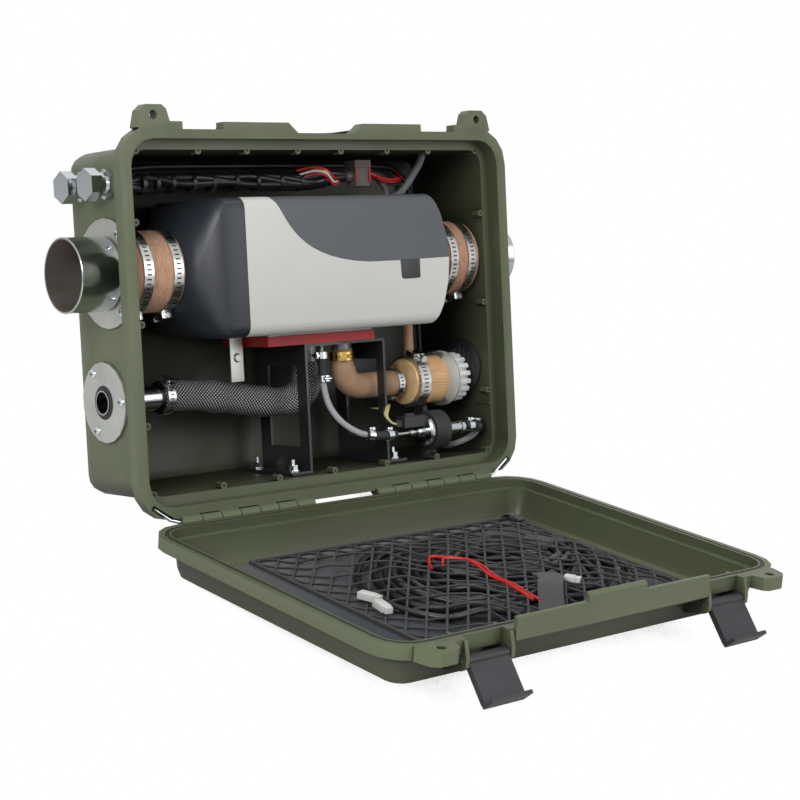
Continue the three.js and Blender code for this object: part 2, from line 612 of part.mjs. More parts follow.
// ---------------------------------------------------------------- heater shells
// The upper shell is the area above a sweeping line; the lower shell wraps round the rest.
const sweepSteps = 14;
function sweepLine(offset) {
  const shape = new THREE.Shape();
  shape.moveTo(-77 + offset, 320);
  shape.lineTo(-77 + offset, 299);
  shape.bezierCurveTo(-58 + offset, 275, -52 + offset, 236 + offset, 43, 230 + offset);
  shape.lineTo(86 + offset, 230 + offset);
  shape.lineTo(87 + offset, 212 + offset);
  shape.lineTo(90 + offset, 210 + offset);
  shape.lineTo(109 - offset, 210 + offset);
  shape.lineTo(112 - offset, 212 + offset);
  shape.lineTo(113 - offset, 230.6 + offset);
  shape.lineTo(200, 232 + offset);
  shape.lineTo(200, 320);
  return shape;
}

function heaterCovers() {
  const { halfDepth, halfHeight, corner, shell, left, right, bulge } = heater;
  const rightEnd = right + bulge;
  const outer = heaterLoft([[left, halfDepth, halfHeight, corner], [rightEnd, halfDepth, halfHeight, corner]]);
  const inner = heaterLoft([
    [left - 1, halfDepth - shell, halfHeight - shell, corner - shell],
    [rightEnd + 1, halfDepth - shell, halfHeight - shell, corner - shell],
  ]);
  const end = new THREE.Shape();
  end.moveTo(left - 5, duct.z - 90);
  end.lineTo(right, duct.z - 90);
  end.lineTo(right, duct.z - halfHeight);
  end.bezierCurveTo(right + bulge + 7, duct.z - 30, right + bulge + 7, duct.z + 30, right, duct.z + halfHeight);
  end.lineTo(right, duct.z + 90);
  end.lineTo(left - 5, duct.z + 90);
  const seat = box(base.left - gap, base.right + gap, base.front - gap, base.back + gap, heaterBottom - 5, heaterBottom + 8);
  return cut(cut(outer, inner).intersect(prismY(end, -50, 180)), seat);
}
const covers = heaterCovers();
add('heater_upper_cover', covers.intersect(prismY(sweepLine(gap / 2), -50, 180, sweepSteps)), charcoal);
add('heater_lower_cover', cut(covers, prismY(sweepLine(-gap / 2), -50, 180, sweepSteps)), white);

function outletHood() {
  const { halfDepth, halfHeight, corner } = heater;
  const start = heater.left - gap;
  const skin = (x, halfY, halfZ, radius, inward) => [x, halfY - inward, halfZ - inward, Math.max(radius - inward, 6)];
  const sections = (inward, shift) => [
    skin(start + (inward ? 1 : 0), halfDepth, halfHeight, corner, inward),
    skin(-134 + shift, halfDepth, halfHeight, corner, inward),
    skin(-143 + shift, 65, 66.5, 22, inward),
    skin(-152 + shift, 59, 60, 34, inward),
    skin(-160 + shift, 51.5, 51.5, 44, inward),
    skin(hood.end + shift, 43, 43, 43, inward),
  ];
  const spigot = rodAlongX(hood.spigotEnd, hood.end + 1, duct.spigot, round.large, duct.y, duct.z);
  const bore = rodAlongX(hood.spigotEnd - 1, hood.end + 12, duct.spigot - hood.shell, round.large, duct.y, duct.z);
  const inside = sections(hood.shell, hood.shell).filter((_, i) => i !== 2 && i !== 4);
  return cut(join(heaterLoft(sections(0, 0)), spigot), heaterLoft(inside), bore);
}
add('hot_air_outlet_hood', outletHood(), blackPlastic);

function inletCollar() {
  const { start, end, spigotEnd, radius } = collar;
  const bore = duct.spigot - 3;
  return turned([
    [start, radius - 3], [start, radius], [start + 18, radius - 1], [end - 6, 44], [end, 42], [end, duct.spigot],
    [spigotEnd, duct.spigot], [spigotEnd, bore], [end - 8, bore], [wheel.left + wheel.width + 4, wheel.radius + 3],
    [start, radius - 3],
  ], round.large, duct.y, duct.z);
}
add('cold_air_inlet_collar', inletCollar(), blackPlastic);

// ---------------------------------------------------------------- heater inside
function heatExchanger() {
  const points = [];
  const step = (2 * Math.PI) / core.fins;
  for (let i = 0; i < core.fins; i += 1) {
    const corners = [[0.12, core.radius - core.fin], [0.36, core.radius], [0.64, core.radius], [0.88, core.radius - core.fin]];
    for (const [share, radius] of corners) {
      const angle = (i + share) * step;
      points.push([duct.y + radius * Math.cos(angle), duct.z + radius * Math.sin(angle)]);
    }
  }
  const finned = prismX(outline(points), core.left, core.right);
  const neck = box(base.left + 14, base.right - 6, base.front + 12, base.back - 12, heaterBottom - 1, duct.z - 34);
  const block = box(base.left, base.right, base.front, base.back, heaterBottom - base.drop, heaterBottom + 6);
  const stub = (x, y, radius, bottom) => {
    const pipe = new THREE.CylinderGeometry(radius, radius, heaterBottom - bottom, 12).rotateX(Math.PI / 2);
    return solid(pipe.translate(x, y, (heaterBottom + bottom) / 2));
  };
  return join(finned, neck, block, stub(port.exhaustX, port.exhaustY, 12, 119),
    stub(port.intakeX, port.intakeY, 11, 122), stub(port.fuelX, port.fuelY, 2.4, 131));
}
add('heat_exchanger', heatExchanger(), aluminium);

const motorShape = turned([
  [core.right + gap, 0], [core.right + gap, 20], [motor.left, 20], [motor.left, motor.radius], [motor.right, motor.radius],
  [motor.right, motor.shaft], [wheel.left + 10, motor.shaft], [wheel.left + 10, 0],
], round.medium, duct.y, duct.z);
add('blower_motor', motorShape, aluminium);

// A hub, a back disc and curved blades, each blade a short swept slab.
function blowerWheel() {
  const { left, width, radius, hub, blades } = wheel;
  const disc = turned([
    [left, motor.shaft + gap], [left, radius], [left + 2, radius], [left + 4, hub], [left + width - 2, hub - 2],
    [left + width - 2, 0], [left + 10 + gap, 0], [left + 10 + gap, motor.shaft + gap], [left, motor.shaft + gap],
  ], round.medium);
  const bladeShapes = Array.from({ length: blades }, (_, i) => {
    const points = [];
    const widths = [[hub - 2, 0], [32, 0.22], [radius - 1, 0.3]];
    for (const side of [-1, 1]) {
      const run = side < 0 ? widths : [...widths].reverse();
      for (const [r, twist] of run) {
        const angle = twist + (2 * Math.PI * i) / blades + (side * 0.8) / r;
        points.push([r * Math.cos(angle), r * Math.sin(angle)]);
      }
    }
    return prismX(outline(points), left + 1, left + width);
  });
  return join(disc, ...bladeShapes);
}
const wheelPlace = new THREE.Group();
wheelPlace.position.set(0, duct.y, duct.z);
heaterCase.add(wheelPlace);
add('blower_wheel', blowerWheel(), blackPlastic, wheelPlace);

function controlBoard() {
  const board = box(66, 128, duct.y - 34, duct.y + 34, duct.z + 46, duct.z + 48);
  const chips = [[74, -24, 14, 20], [96, -20, 18, 18], [76, 8, 10, 22], [100, 10, 22, 12]].map(([x, dy, w, d]) => (
    box(x, x + w, duct.y + dy, duct.y + dy + d, duct.z + 47, duct.z + 53)));
  const posts = [-15, 9].map((dy) => (
    box(100, 106, duct.y + dy, duct.y + dy + 6, duct.z + motor.radius - 1.2, duct.z + 46.5)));
  return join(board, ...chips, ...posts);
}
add('control_board', controlBoard(), boardGreen);

const gasketLow = bracketTop + gap;
function baseGasket() {
  const sheet = box(base.left - 2, base.right + 2, base.front - 2, base.back + 2, gasketLow, heaterBottom - base.drop - gap);
  const clear = (x, y, radius) => solid(
    new THREE.CylinderGeometry(radius, radius, 60, 12).rotateX(Math.PI / 2).translate(x, y, heaterBottom));
  return cut(sheet, clear(port.exhaustX, port.exhaustY, 12.6), clear(port.intakeX, port.intakeY, 11.6),
    clear(port.fuelX, port.fuelY, 3.4));
}
add('base_gasket', baseGasket(), redGasket);

// ---------------------------------------------------------------- bracket under the heater
function mountingBracket() {
  const { left, right, front, back, sheet, foot: footWidth, floor } = bracket;
  const top = box(left, right, front, back, bracketTop - sheet, bracketTop);
  const window = box(left + 12, right - 14, front + 8, back - 10, bracketTop - 10, bracketTop + 10);
  const sides = [[left, left + sheet], [right - sheet, right]].map(([x0, x1]) => (
    box(x0, x1, front, back, floor, bracketTop)));
  const feet = [box(left - footWidth, left + sheet, front, back, floor, floor + sheet),
    box(right - sheet, right + footWidth, front, back, floor, floor + sheet)];
  const leftWindow = box(left - 5, left + 5, 46, 98, 38, 124);
  const rightWindow = box(right - 6, right + 5, 42, 98, 38, 124);
  return cut(join(top, ...sides, ...feet), window, leftWindow, rightWindow);
}
add('heater_bracket', mountingBracket(), blackSteel);

function footBolt() {
  const bolt = new THREE.LatheGeometry([
    [0, 0], [7, 0], [7, 1.5], [4.6, 1.5], [4.6, 6.5], [2.6, 6.5], [2.6, 11], [1.6, 12.5], [0, 12.5],
  ].map(([r, h]) => new THREE.Vector2(r, h)), 6).rotateX(Math.PI / 2);
  return solid(bolt);
}
const boltPlaces = [
  ['left_front', -34, 42], ['left_back', -34, 106], ['right_front', 102, 42], ['right_back', 102, 106],
];
for (const [label, x, y] of boltPlaces) {
  const mesh = add(`bracket_bolt_${label}`, footBolt(), chrome);
  mesh.position.set(x, y, bracket.floor + bracket.sheet + gap);
}

// ---------------------------------------------------------------- exhaust
const sleeveRoute = [
  [-171, exhaust.y, exhaust.z], [-160, exhaust.y, exhaust.z], [-148, exhaust.y, exhaust.z], [-115, 80.5, 99.5],
  [-80, 80.5, 94], [-45, 79, 88], [-16, 77, 85.5], [2, 75.2, 90], [11.5, 74.2, 100],
  [port.exhaustX, port.exhaustY, 112], [port.exhaustX, port.exhaustY, 119], [port.exhaustX, port.exhaustY, 126],
];
add('exhaust_sleeved_pipe', along(sleeveRoute, 16, 8, 13, 13.3), rubber);
const exhaustBand = hoseBand(16, 9, 150, round.small).translate(-165, exhaust.y, exhaust.z);
add('exhaust_band', exhaustBand, steel);

// ---------------------------------------------------------------- combustion air intake
const elbowRoute = [
  [port.intakeX, port.intakeY, 121.6], [port.intakeX, port.intakeY, 116.5], [54.5, filter.y, 107], [61.5, filter.y, 99.5],
  [72, filter.y, 95.8], [87, filter.y, filter.z], [103, filter.y, filter.z], [filter.left - 5, filter.y, filter.z],
];
add('intake_elbow_hose', along(elbowRoute, 14, 8, 11, 11.5), brownHose);
const intakeBand = hoseBand(14, 8, 20, round.small).translate(filter.left - 11, filter.y, filter.z);
add('intake_band', intakeBand, steel);

function filterCanister() {
  const { radius, ring, left, right, spigot } = filter;
  return turned([
    [left - 19, spigot - 1.8], [left - 19, spigot], [left - 2, spigot], [left, radius - 3], [left + 3, radius],
    [right - 34, radius], [right - 32, ring], [right - 22, ring], [right - 22, ring - 1.8], [right - 31, radius - 1.8],
    [left + 4, radius - 1.8], [left + 1.5, radius - 5],
    [left + 1.5, spigot - 1.8], [left - 19, spigot - 1.8],
  ], round.medium, filter.y, filter.z);
}
add('filter_canister', filterCanister(), clearPlastic);

function filterElement() {
  const points = [];
  const pleats = 18;
  for (let i = 0; i < pleats; i += 1) {
    for (const [share, radius] of [[0, 24.4], [0.5, 21.4]]) {
      const angle = ((i + share) * 2 * Math.PI) / pleats;
      points.push([filter.y + radius * Math.cos(angle), filter.z + radius * Math.sin(angle)]);
    }
  }
  const pleated = prismX(outline(points), filter.left + 5, filter.right - 34);
  return cut(pleated, rodAlongX(filter.left, filter.right - 40, 12, round.small, filter.y, filter.z));
}
add('filter_element', filterElement(), paper);

// The screw cap's rim has a row of teeth to grip it by.
function filterCap() {
  const { left, right, radius, y, z } = filter;
  const cupStart = right - 22 + gap;
  const cup = turned([
    [cupStart, 0], [cupStart, radius + 1], [cupStart + 5, radius + 1], [cupStart + 6, radius - 3], [right - 3, radius - 6],
    [right, radius - 10], [right, 0],
  ], round.medium, y, z);
  const teeth = Array.from({ length: 8 }, (_, i) => (
    box(cupStart + 4, right - 3, -3.4, 3.4, radius - 8, radius + 0.6)
      .rotate([(360 * i) / 8, 0, 0]).translate(0, y, z)));
  const hollow = turned([[left + 1, 0], [left + 1, 14], [right - 8, 14], [right - 8, 0]], round.small, y, z);
  return cut(join(cup, ...teeth), hollow);
}
add('filter_cap', filterCap(), white);

const hanger = solid(new THREE.CylinderGeometry(5.5, 5.5, heaterBottom - gap - filter.z - filter.radius - 1, 8)
  .rotateX(Math.PI / 2).translate(0, 0, (heaterBottom - gap - filter.z + filter.radius + 1) / 2));
const strap = join(hoseBand(filter.radius, filter.band, 195, round.medium), hanger)
  .translate(filter.left + 13, filter.y, filter.z);
add('filter_band', strap, steel);

// ---------------------------------------------------------------- fuel
function fuelPump() {
  const { tip, left, right, radius, stub, flange: rim, y, z } = pump;
  return turned([
    [tip, 0], [tip, stub], [left - 10, stub], [left - 9, 6], [left, 6], [left, rim - 2], [left + 1, rim],
    [left + 6, rim], [left + 6, radius], [right, radius], [right, 6], [right + 30, 6], [right + 32, stub],
    [right + 36, stub], [right + 36, 0],
  ], round.small, y, z);
}
add('fuel_pump', fuelPump(), steel);

function pumpMount() {
  const { y, z, mount, radius } = pump;
  const ring = tubeAlongX(pump.left + 6 + gap, 155, radius + gap, mount, round.medium, y, z);
  const standoff = box(139, 154, mouth.depth + boss.length + 0.6, y + 15, bracket.floor + 0.4, z - radius);
  return join(ring, standoff);
}
add('pump_rubber_mount', pumpMount(), rubber);

function pumpPlug() {
  const { y, z, left } = pump;
  const housing = box(98, left - gap, y - 8, y + 8, z + 6 + gap, z + 18);
  const boot = box(90, 99, y - 5, y + 5, z + 8, z + 15);
  const latchTab = box(104, 116, y - 3, y + 3, z + 17, z + 21);
  return join(housing, boot, latchTab);
}
add('pump_plug', pumpPlug(), blackPlastic);

const deliveryRoute = [
  [port.fuelX, port.fuelY, 130.6], [port.fuelX, port.fuelY, 114], [14.6, 45.4, 99], [18, 42, 79], [28, 35, 61],
  [44, 27.5, 48.5], [62, 23.4, 43.2], [76, pump.y, pump.z], [pump.tip - gap, pump.y, pump.z],
];
add('fuel_line_to_heater', along(deliveryRoute, fuelLine.radius, 6, 20), greyHose);
const supplyRoute = [
  [pump.right + 36.3, pump.y, pump.z], [206, 22.6, 42], [215, 27, 38], [217, 34, 31], [212, 42, 25], [200, 50, 20],
  [196, 66, 17.5], [202, 88, 19], [210, 104, 28], [213, 114, 50], [213, 118, 90], [213, 119, 180], [212, 119, 270],
  [206, 119, 312], [188, 118, 331], [160, 117, 337], [60, 117, 338], [-60, 117, 338], [-150, 115, 337],
  [-184, 111, 331], [-198, 102, 321], [-206, bulkhead.back, bulkhead.z], [-wallX + 18.3, bulkhead.back, bulkhead.z],
];
add('fuel_line_from_tank', along(supplyRoute, fuelLine.radius, 6, 36), greyHose);

// ---------------------------------------------------------------- wiring
const loomRoute = [
  [-wallX + 18.4, bulkhead.front, bulkhead.z], [-205, bulkhead.front, bulkhead.z], [-186, 60, 317], [-160, 72, 318.5],
  [-120, loom.y, loom.z], [-40, loom.y + 2, loom.z + 1], [24, loom.y, loom.z], [46, 67, 322], [58, 64, 323], [70, 64, 323],
];
add('wiring_loom', along(loomRoute, loom.radius, 8, 15), webbing);

function fuseHolder() {
  const holder = box(80, 99, 56, 72, 312, 338);
  const cap = box(78.5, 100.5, 54.5, 73.5, 332, 340);
  const lead = along([[98, 64, 324], [112, 64, 323], [124, 66, 316], [131, 68, 308], [131, 68, 300.5]], 4, 6, 6);
  const tail = rodAlongX(70.5, 82, 6, 10, 64, 323);
  return join(holder, cap, lead, tail);
}
add('fuse_holder', fuseHolder(), blackPlastic);

// ---------------------------------------------------------------- what the lid carries
const trayFloor = -lid.depth + lid.floor;
const matTop = trayFloor + gap + tray.matThickness;
const matEdge = new THREE.Shape();
matEdge.moveTo(-tray.matHalf, tray.matLow + 12);
matEdge.lineTo(-tray.matHalf + 12, tray.matLow);
matEdge.lineTo(tray.matHalf - 12, tray.matLow);
matEdge.lineTo(tray.matHalf, tray.matLow + 12);
matEdge.lineTo(tray.matHalf, tray.matHigh);
matEdge.lineTo(-tray.matHalf, tray.matHigh);
add('lid_mat', prismY(matEdge, trayFloor + gap, matTop), rubber, lidGroup);

// The control lead is wound flat: loops run inward in one layer and outward again in the next.
function coilPoints() {
  const points = [];
  const perLoop = 14;
  const total = coil.loops * perLoop;
  const low = matTop + gap + coil.cord / 2;
  for (let i = 0; i <= 2 * total; i += 1) {
    const inward = i <= total ? i : 2 * total - i;
    const shrink = (coil.pitch * inward) / perLoop;
    const climb = THREE.MathUtils.clamp((i - total + perLoop / 4) / (perLoop / 2), 0, 1);
    const angle = (2 * Math.PI * i) / perLoop;
    points.push([
      coil.x + (coil.halfLength - shrink) * Math.cos(angle), low + coil.pitch * climb,
      coil.z + (coil.halfWidth - shrink) * Math.sin(angle),
    ]);
  }
  return points;
}

// The narrowest space between one stretch of a wound cord and another.
function leastGap(points, diameter, skip) {
  let least = Infinity;
  for (let i = 0; i < points.length; i += 1) {
    for (let j = i + skip; j < points.length; j += 1) {
      least = Math.min(least, Math.hypot(...points[i].map((value, axis) => value - points[j][axis])));
    }
  }
  return least - diameter;
}
const lead = coilPoints();
console.log(`least gap between the lead's turns: ${leastGap(lead, coil.cord, 5).toFixed(2)} mm`);
add('control_lead_coil', along(lead, coil.cord / 2, 5, lead.length - 1), rubber, lidGroup);

// A net of crossing cords, drawn flat and then raised where it passes over the lead.
const netRise = 21;
function netHeight(x, z) {
  const across = Math.abs(x - coil.x) / (coil.halfLength + 48);
  const up = Math.abs(z - coil.z) / (coil.halfWidth + 55);
  const far = Math.max(across, up);
  return netRise * THREE.MathUtils.smoothstep(1.12 - far, 0, 0.3);
}

function cargoNet() {
  const { left, right, low, high, strand, thickness, columns, rows } = net;
  const [stepX, stepZ] = [(right - left) / columns, (high - low) / rows];
  const sheet = outline([[left, low], [right, low], [right, high], [left, high]]);
  const [halfX, halfZ] = [stepX / 2 - strand, stepZ / 2 - strand];
  for (let column = 0; column < columns; column += 1) {
    for (let row = 0; row < rows; row += 1) {
      const [x, z] = [left + (column + 0.5) * stepX, low + (row + 0.5) * stepZ];
      sheet.holes.push(outline([[x - halfX, z], [x, z - halfZ], [x + halfX, z], [x, z + halfZ]]));
      if (column + 1 < columns && row + 1 < rows) {
        const [cx, cz] = [x + stepX / 2, z + stepZ / 2];
        sheet.holes.push(outline([[cx - halfX, cz], [cx, cz - halfZ], [cx + halfX, cz], [cx, cz + halfZ]]));
      }
    }
  }
  const flat = new THREE.ExtrudeGeometry(sheet, { depth: thickness, bevelEnabled: false });
  flat.rotateX(Math.PI / 2);
  const position = flat.attributes.position;
  for (let i = 0; i < position.count; i += 1) {
    const [x, y, z] = [position.getX(i), position.getY(i), position.getZ(i)];
    position.setY(i, y + thickness + matTop + gap + netHeight(x, z));
  }
  return solid(flat);
}
add('cargo_net', cargoNet(), webbing, lidGroup);

// ---------------------------------------------------------------- stance
// The hinge stop holds the lid open. The body leans back until its feet meet the floor and
// the near edge of the lid carries the front: the lean is the slope of that common line.
lidGroup.rotation.x = openAngle;
heaterCase.updateMatrixWorld(true);

function sideView() {
  const points = [];
  const vertex = new THREE.Vector3();
  heaterCase.traverse((node) => {
    if (!node.isMesh) return;
    const { position } = node.geometry.attributes;
    for (let i = 0; i < position.count; i += 1) {
      vertex.fromBufferAttribute(position, i).applyMatrix4(node.matrixWorld);
      points.push([vertex.x, vertex.y, vertex.z]);
    }
  });
  return points;
}

function restingLean(points) {
  const backFeet = points.filter(([, y, z]) => y > 90 && z < 0);
  const front = points.filter(([, y]) => y < 60);
  const drop = (list, lean) => Math.min(...list.map(([, y, z]) => z * Math.cos(lean) - y * Math.sin(lean)));
  let [low, high] = [0, 0.6];
  for (let i = 0; i < 50; i += 1) {
    const lean = (low + high) / 2;
    if (drop(backFeet, lean) > drop(front, lean)) low = lean;
    else high = lean;
  }
  return (low + high) / 2;
}
const lean = restingLean(sideView());
heaterCase.rotation.x = -lean;
heaterCase.updateMatrixWorld(true);
const bounds = { x: [Infinity, -Infinity], y: [Infinity, -Infinity], z: Infinity };
for (const [x, y, z] of sideView()) {
  bounds.x = [Math.min(bounds.x[0], x), Math.max(bounds.x[1], x)];
  bounds.y = [Math.min(bounds.y[0], y), Math.max(bounds.y[1], y)];
  bounds.z = Math.min(bounds.z, z);
}
heaterCase.position.set(-(bounds.x[0] + bounds.x[1]) / 2, -(bounds.y[0] + bounds.y[1]) / 2, -bounds.z);
console.log(`lean ${THREE.MathUtils.radToDeg(lean).toFixed(3)} deg, moved ${heaterCase.position.toArray().map((v) => v.toFixed(3))}`);

const heaterUnit = new THREE.Group();
heaterUnit.add(heaterCase);
export default heaterUnit;
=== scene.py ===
# Looks of the diesel air heater in its open carry case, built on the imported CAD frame.
import json
import math
import random

import bmesh
import bpy
from bpy.props import FloatProperty, FloatVectorProperty, IntProperty, PointerProperty
from mathutils import Matrix, Vector


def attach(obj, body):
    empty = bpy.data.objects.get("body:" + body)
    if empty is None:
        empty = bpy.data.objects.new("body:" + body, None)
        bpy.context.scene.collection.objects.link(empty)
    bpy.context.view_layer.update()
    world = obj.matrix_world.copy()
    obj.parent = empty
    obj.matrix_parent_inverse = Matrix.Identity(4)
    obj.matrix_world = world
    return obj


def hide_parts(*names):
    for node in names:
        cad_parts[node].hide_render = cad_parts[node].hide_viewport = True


bl_info = {
    "name": "Diesel Air Heater in a Carry Case",
    "version": (1, 0, 0),
    "blender": (4, 5, 0),
    "location": "View3D > Sidebar > Heater Case",
    "description": "Builds the looks of a diesel air heater in its open carry case",
    "category": "Object",
}

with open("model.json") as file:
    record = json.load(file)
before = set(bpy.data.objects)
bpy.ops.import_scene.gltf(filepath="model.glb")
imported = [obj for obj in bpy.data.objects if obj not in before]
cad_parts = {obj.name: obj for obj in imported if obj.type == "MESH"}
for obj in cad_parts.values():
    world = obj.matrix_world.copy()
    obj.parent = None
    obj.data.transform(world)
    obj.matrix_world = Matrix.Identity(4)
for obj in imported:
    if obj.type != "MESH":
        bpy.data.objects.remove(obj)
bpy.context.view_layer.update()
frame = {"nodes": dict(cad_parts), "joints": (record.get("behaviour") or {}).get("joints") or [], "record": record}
RECORD = frame["record"]
NODES = frame["nodes"]

# The case is drawn in its own frame: X along the hinge, Y into the body from its rim, Z up the
# opening from its lower edge. The lid is drawn closed. Both are then placed as the record says.
HINGE_Z = -0.0153
OPEN_ANGLE = math.radians(100.4)


def find_case_frame():
    back = next(m for m in RECORD["mounts"] if m["name"] == "back_face")
    hinge = next(j for j in frame["joints"] if j["name"] == "lid_hinge")
    lean = math.atan2(-back["axis"][2], back["axis"][1])
    turn = Matrix.Rotation(-lean, 4, "X")
    offset = Vector(hinge["pos_m"]) - turn @ Vector((0, 0, HINGE_Z))
    return Matrix.Translation(offset) @ turn


CASE = find_case_frame()
HINGE = Matrix.Translation((0, 0, HINGE_Z))
LID = CASE @ HINGE @ Matrix.Rotation(OPEN_ANGLE, 4, "X") @ HINGE.inverted()
MM = 0.001
AXIS = 1e-4  # how near its axis a solid turned profile starts, in millimetres


def at(x, y, z):
    """A point of the case in millimetres, as a vector in metres."""
    return Vector((x * MM, y * MM, z * MM))


# ---------------------------------------------------------------- materials
def calculate(tree, operation, *values):
    """A node that works on numbers or on other nodes' outputs, and its own output."""
    node = tree.nodes.new("ShaderNodeMath")
    node.operation = operation
    for socket, value in zip(node.inputs, values):
        if isinstance(value, (int, float)):
            socket.default_value = value
        else:
            tree.links.new(value, socket)
    return node.outputs[0]


class Finish:
    """One Principled material and the nodes that vary it."""

    def __init__(self, name, color, roughness=0.5, metallic=0.0, **sockets):
        self.material = bpy.data.materials.new(name)
        self.material.use_nodes = True
        self.tree = self.material.node_tree
        self.shader = self.tree.nodes["Principled BSDF"]
        self.set("Base Color", (*color, 1))
        self.set("Roughness", roughness)
        self.set("Metallic", metallic)
        for socket, value in sockets.items():
            self.set(socket.replace("_", " "), value)
        self.color = color
        self.bump = None

    def set(self, socket, value):
        self.shader.inputs[socket].default_value = value

    def node(self, kind, **inputs):
        node = self.tree.nodes.new(kind)
        for name, value in inputs.items():
            node.inputs[name.replace("_", " ")].default_value = value
        return node

    def link(self, a, b):
        self.tree.links.new(a, b)

    def coordinates(self, scale=(1, 1, 1)):
        texture = self.tree.nodes.new("ShaderNodeTexCoord")
        mapping = self.node("ShaderNodeMapping", Scale=scale)
        self.link(texture.outputs["Object"], mapping.inputs["Vector"])
        return mapping.outputs["Vector"]

    def noise(self, scale, detail=3.0, stretch=(1, 1, 1)):
        noise = self.node("ShaderNodeTexNoise", Scale=scale, Detail=detail)
        self.link(self.coordinates(stretch), noise.inputs["Vector"])
        return noise.outputs["Fac"]

    def ramp(self, factor, stops):
        ramp = self.tree.nodes.new("ShaderNodeValToRGB")
        while len(ramp.color_ramp.elements) < len(stops):
            ramp.color_ramp.elements.new(0.5)
        for element, (place, color) in zip(ramp.color_ramp.elements, stops):
            element.position = place
            element.color = (*color, 1) if len(color) == 3 else color
        self.link(factor, ramp.inputs["Fac"])
        return ramp.outputs["Color"]

    def vary_color(self, scale, dark, light, low=0.35, high=0.65, stretch=(1, 1, 1)):
        shade = [tuple(c * k for c in self.color) for k in (dark, light)]
        color = self.ramp(self.noise(scale, 4, stretch), [(low, shade[0]), (high, shade[1])])
        self.link(color, self.shader.inputs["Base Color"])
        return self

    def vary_roughness(self, scale, low, high, stretch=(1, 1, 1)):
        grey = self.ramp(self.noise(scale, 4, stretch), [(0.3, (low,) * 3), (0.7, (high,) * 3)])
        self.link(grey, self.shader.inputs["Roughness"])
        return self

    def raise_by(self, height, distance, strength=1.0):
        bump = self.node("ShaderNodeBump", Strength=strength, Distance=distance)
        self.link(height, bump.inputs["Height"])
        if self.bump:
            self.link(self.bump.outputs["Normal"], bump.inputs["Normal"])
        self.link(bump.outputs["Normal"], self.shader.inputs["Normal"])
        self.bump = bump
        return self

    def grain(self, scale, distance, stretch=(1, 1, 1), strength=1.0):
        return self.raise_by(self.noise(scale, 5, stretch), distance, strength)

    def waves(self, scale, distance, direction="X", distortion=0.0):
        wave = self.node("ShaderNodeTexWave", Scale=scale, Distortion=distortion)
        wave.bands_direction = direction
        wave.wave_profile = "SIN"
        self.link(self.coordinates(), wave.inputs["Vector"])
        return self.raise_by(wave.outputs["Fac"], distance)

    def paint_corner_shade(self, reach, dark):
        """Painted shade: a darker base colour where the piece is closed in by others, as deep in the open case."""
        painted_shade_ao = self.node("ShaderNodeAmbientOcclusion", Distance=reach)
        painted_shade_ao.samples = 12
        shade = self.ramp(painted_shade_ao.outputs["AO"], [(0.12, (dark,) * 3), (0.58, (1, 1, 1))])
        mix = self.tree.nodes.new("ShaderNodeMix")
        mix.data_type = "RGBA"
        mix.blend_type = "MULTIPLY"
        mix.inputs["Factor"].default_value = 1.0
        self.link(self.shader.inputs["Base Color"].links[0].from_socket, mix.inputs["A"])
        self.link(shade, mix.inputs["B"])
        self.link(mix.outputs["Result"], self.shader.inputs["Base Color"])
        return self

    def weave(self, count):
        """Crossed strands, from 0 between them to 1 on them, in the surface coordinates that a
        tube is given: its length in millimetres over a hundred, and turns round it."""
        texture = self.tree.nodes.new("ShaderNodeTexCoord")
        split = self.tree.nodes.new("ShaderNodeSeparateXYZ")
        self.link(texture.outputs["UV"], split.inputs[0])
        slants = []
        for operation in ("ADD", "SUBTRACT"):
            slant = calculate(self.tree, operation, split.outputs["X"], split.outputs["Y"])
            angle = calculate(self.tree, "MULTIPLY", slant, 2 * math.pi * count)
            wave = calculate(self.tree, "SINE", angle)
            slants.append(calculate(self.tree, "ABSOLUTE", wave))
        return calculate(self.tree, "MULTIPLY", *slants)

    def paint_edge_highlight(self, color, amount=0.6):
        """Painted highlight: a lighter colour on sharp convex edges, where they catch the light."""
        geometry = self.tree.nodes.new("ShaderNodeNewGeometry")
        edge = self.ramp(geometry.outputs["Pointiness"], [(0.52, (0, 0, 0)), (0.6, (amount,) * 3)])
        mix = self.tree.nodes.new("ShaderNodeMix")
        mix.data_type = "RGBA"
        source = self.shader.inputs["Base Color"]
        if source.links:
            self.link(source.links[0].from_socket, mix.inputs["A"])
        else:
            mix.inputs["A"].default_value = source.default_value
        mix.inputs["B"].default_value = (*color, 1)
        self.link(edge, mix.inputs["Factor"])
        self.link(mix.outputs["Result"], self.shader.inputs["Base Color"])
        return self


def srgb(red, green, blue):
    """A colour as read on a screen, as the linear values that a shader takes."""
    def linear(value):
        value /= 255
        return value / 12.92 if value <= 0.04045 else ((value + 0.055) / 1.055) ** 2.4
    return linear(red), linear(green), linear(blue)


FINISH = {}


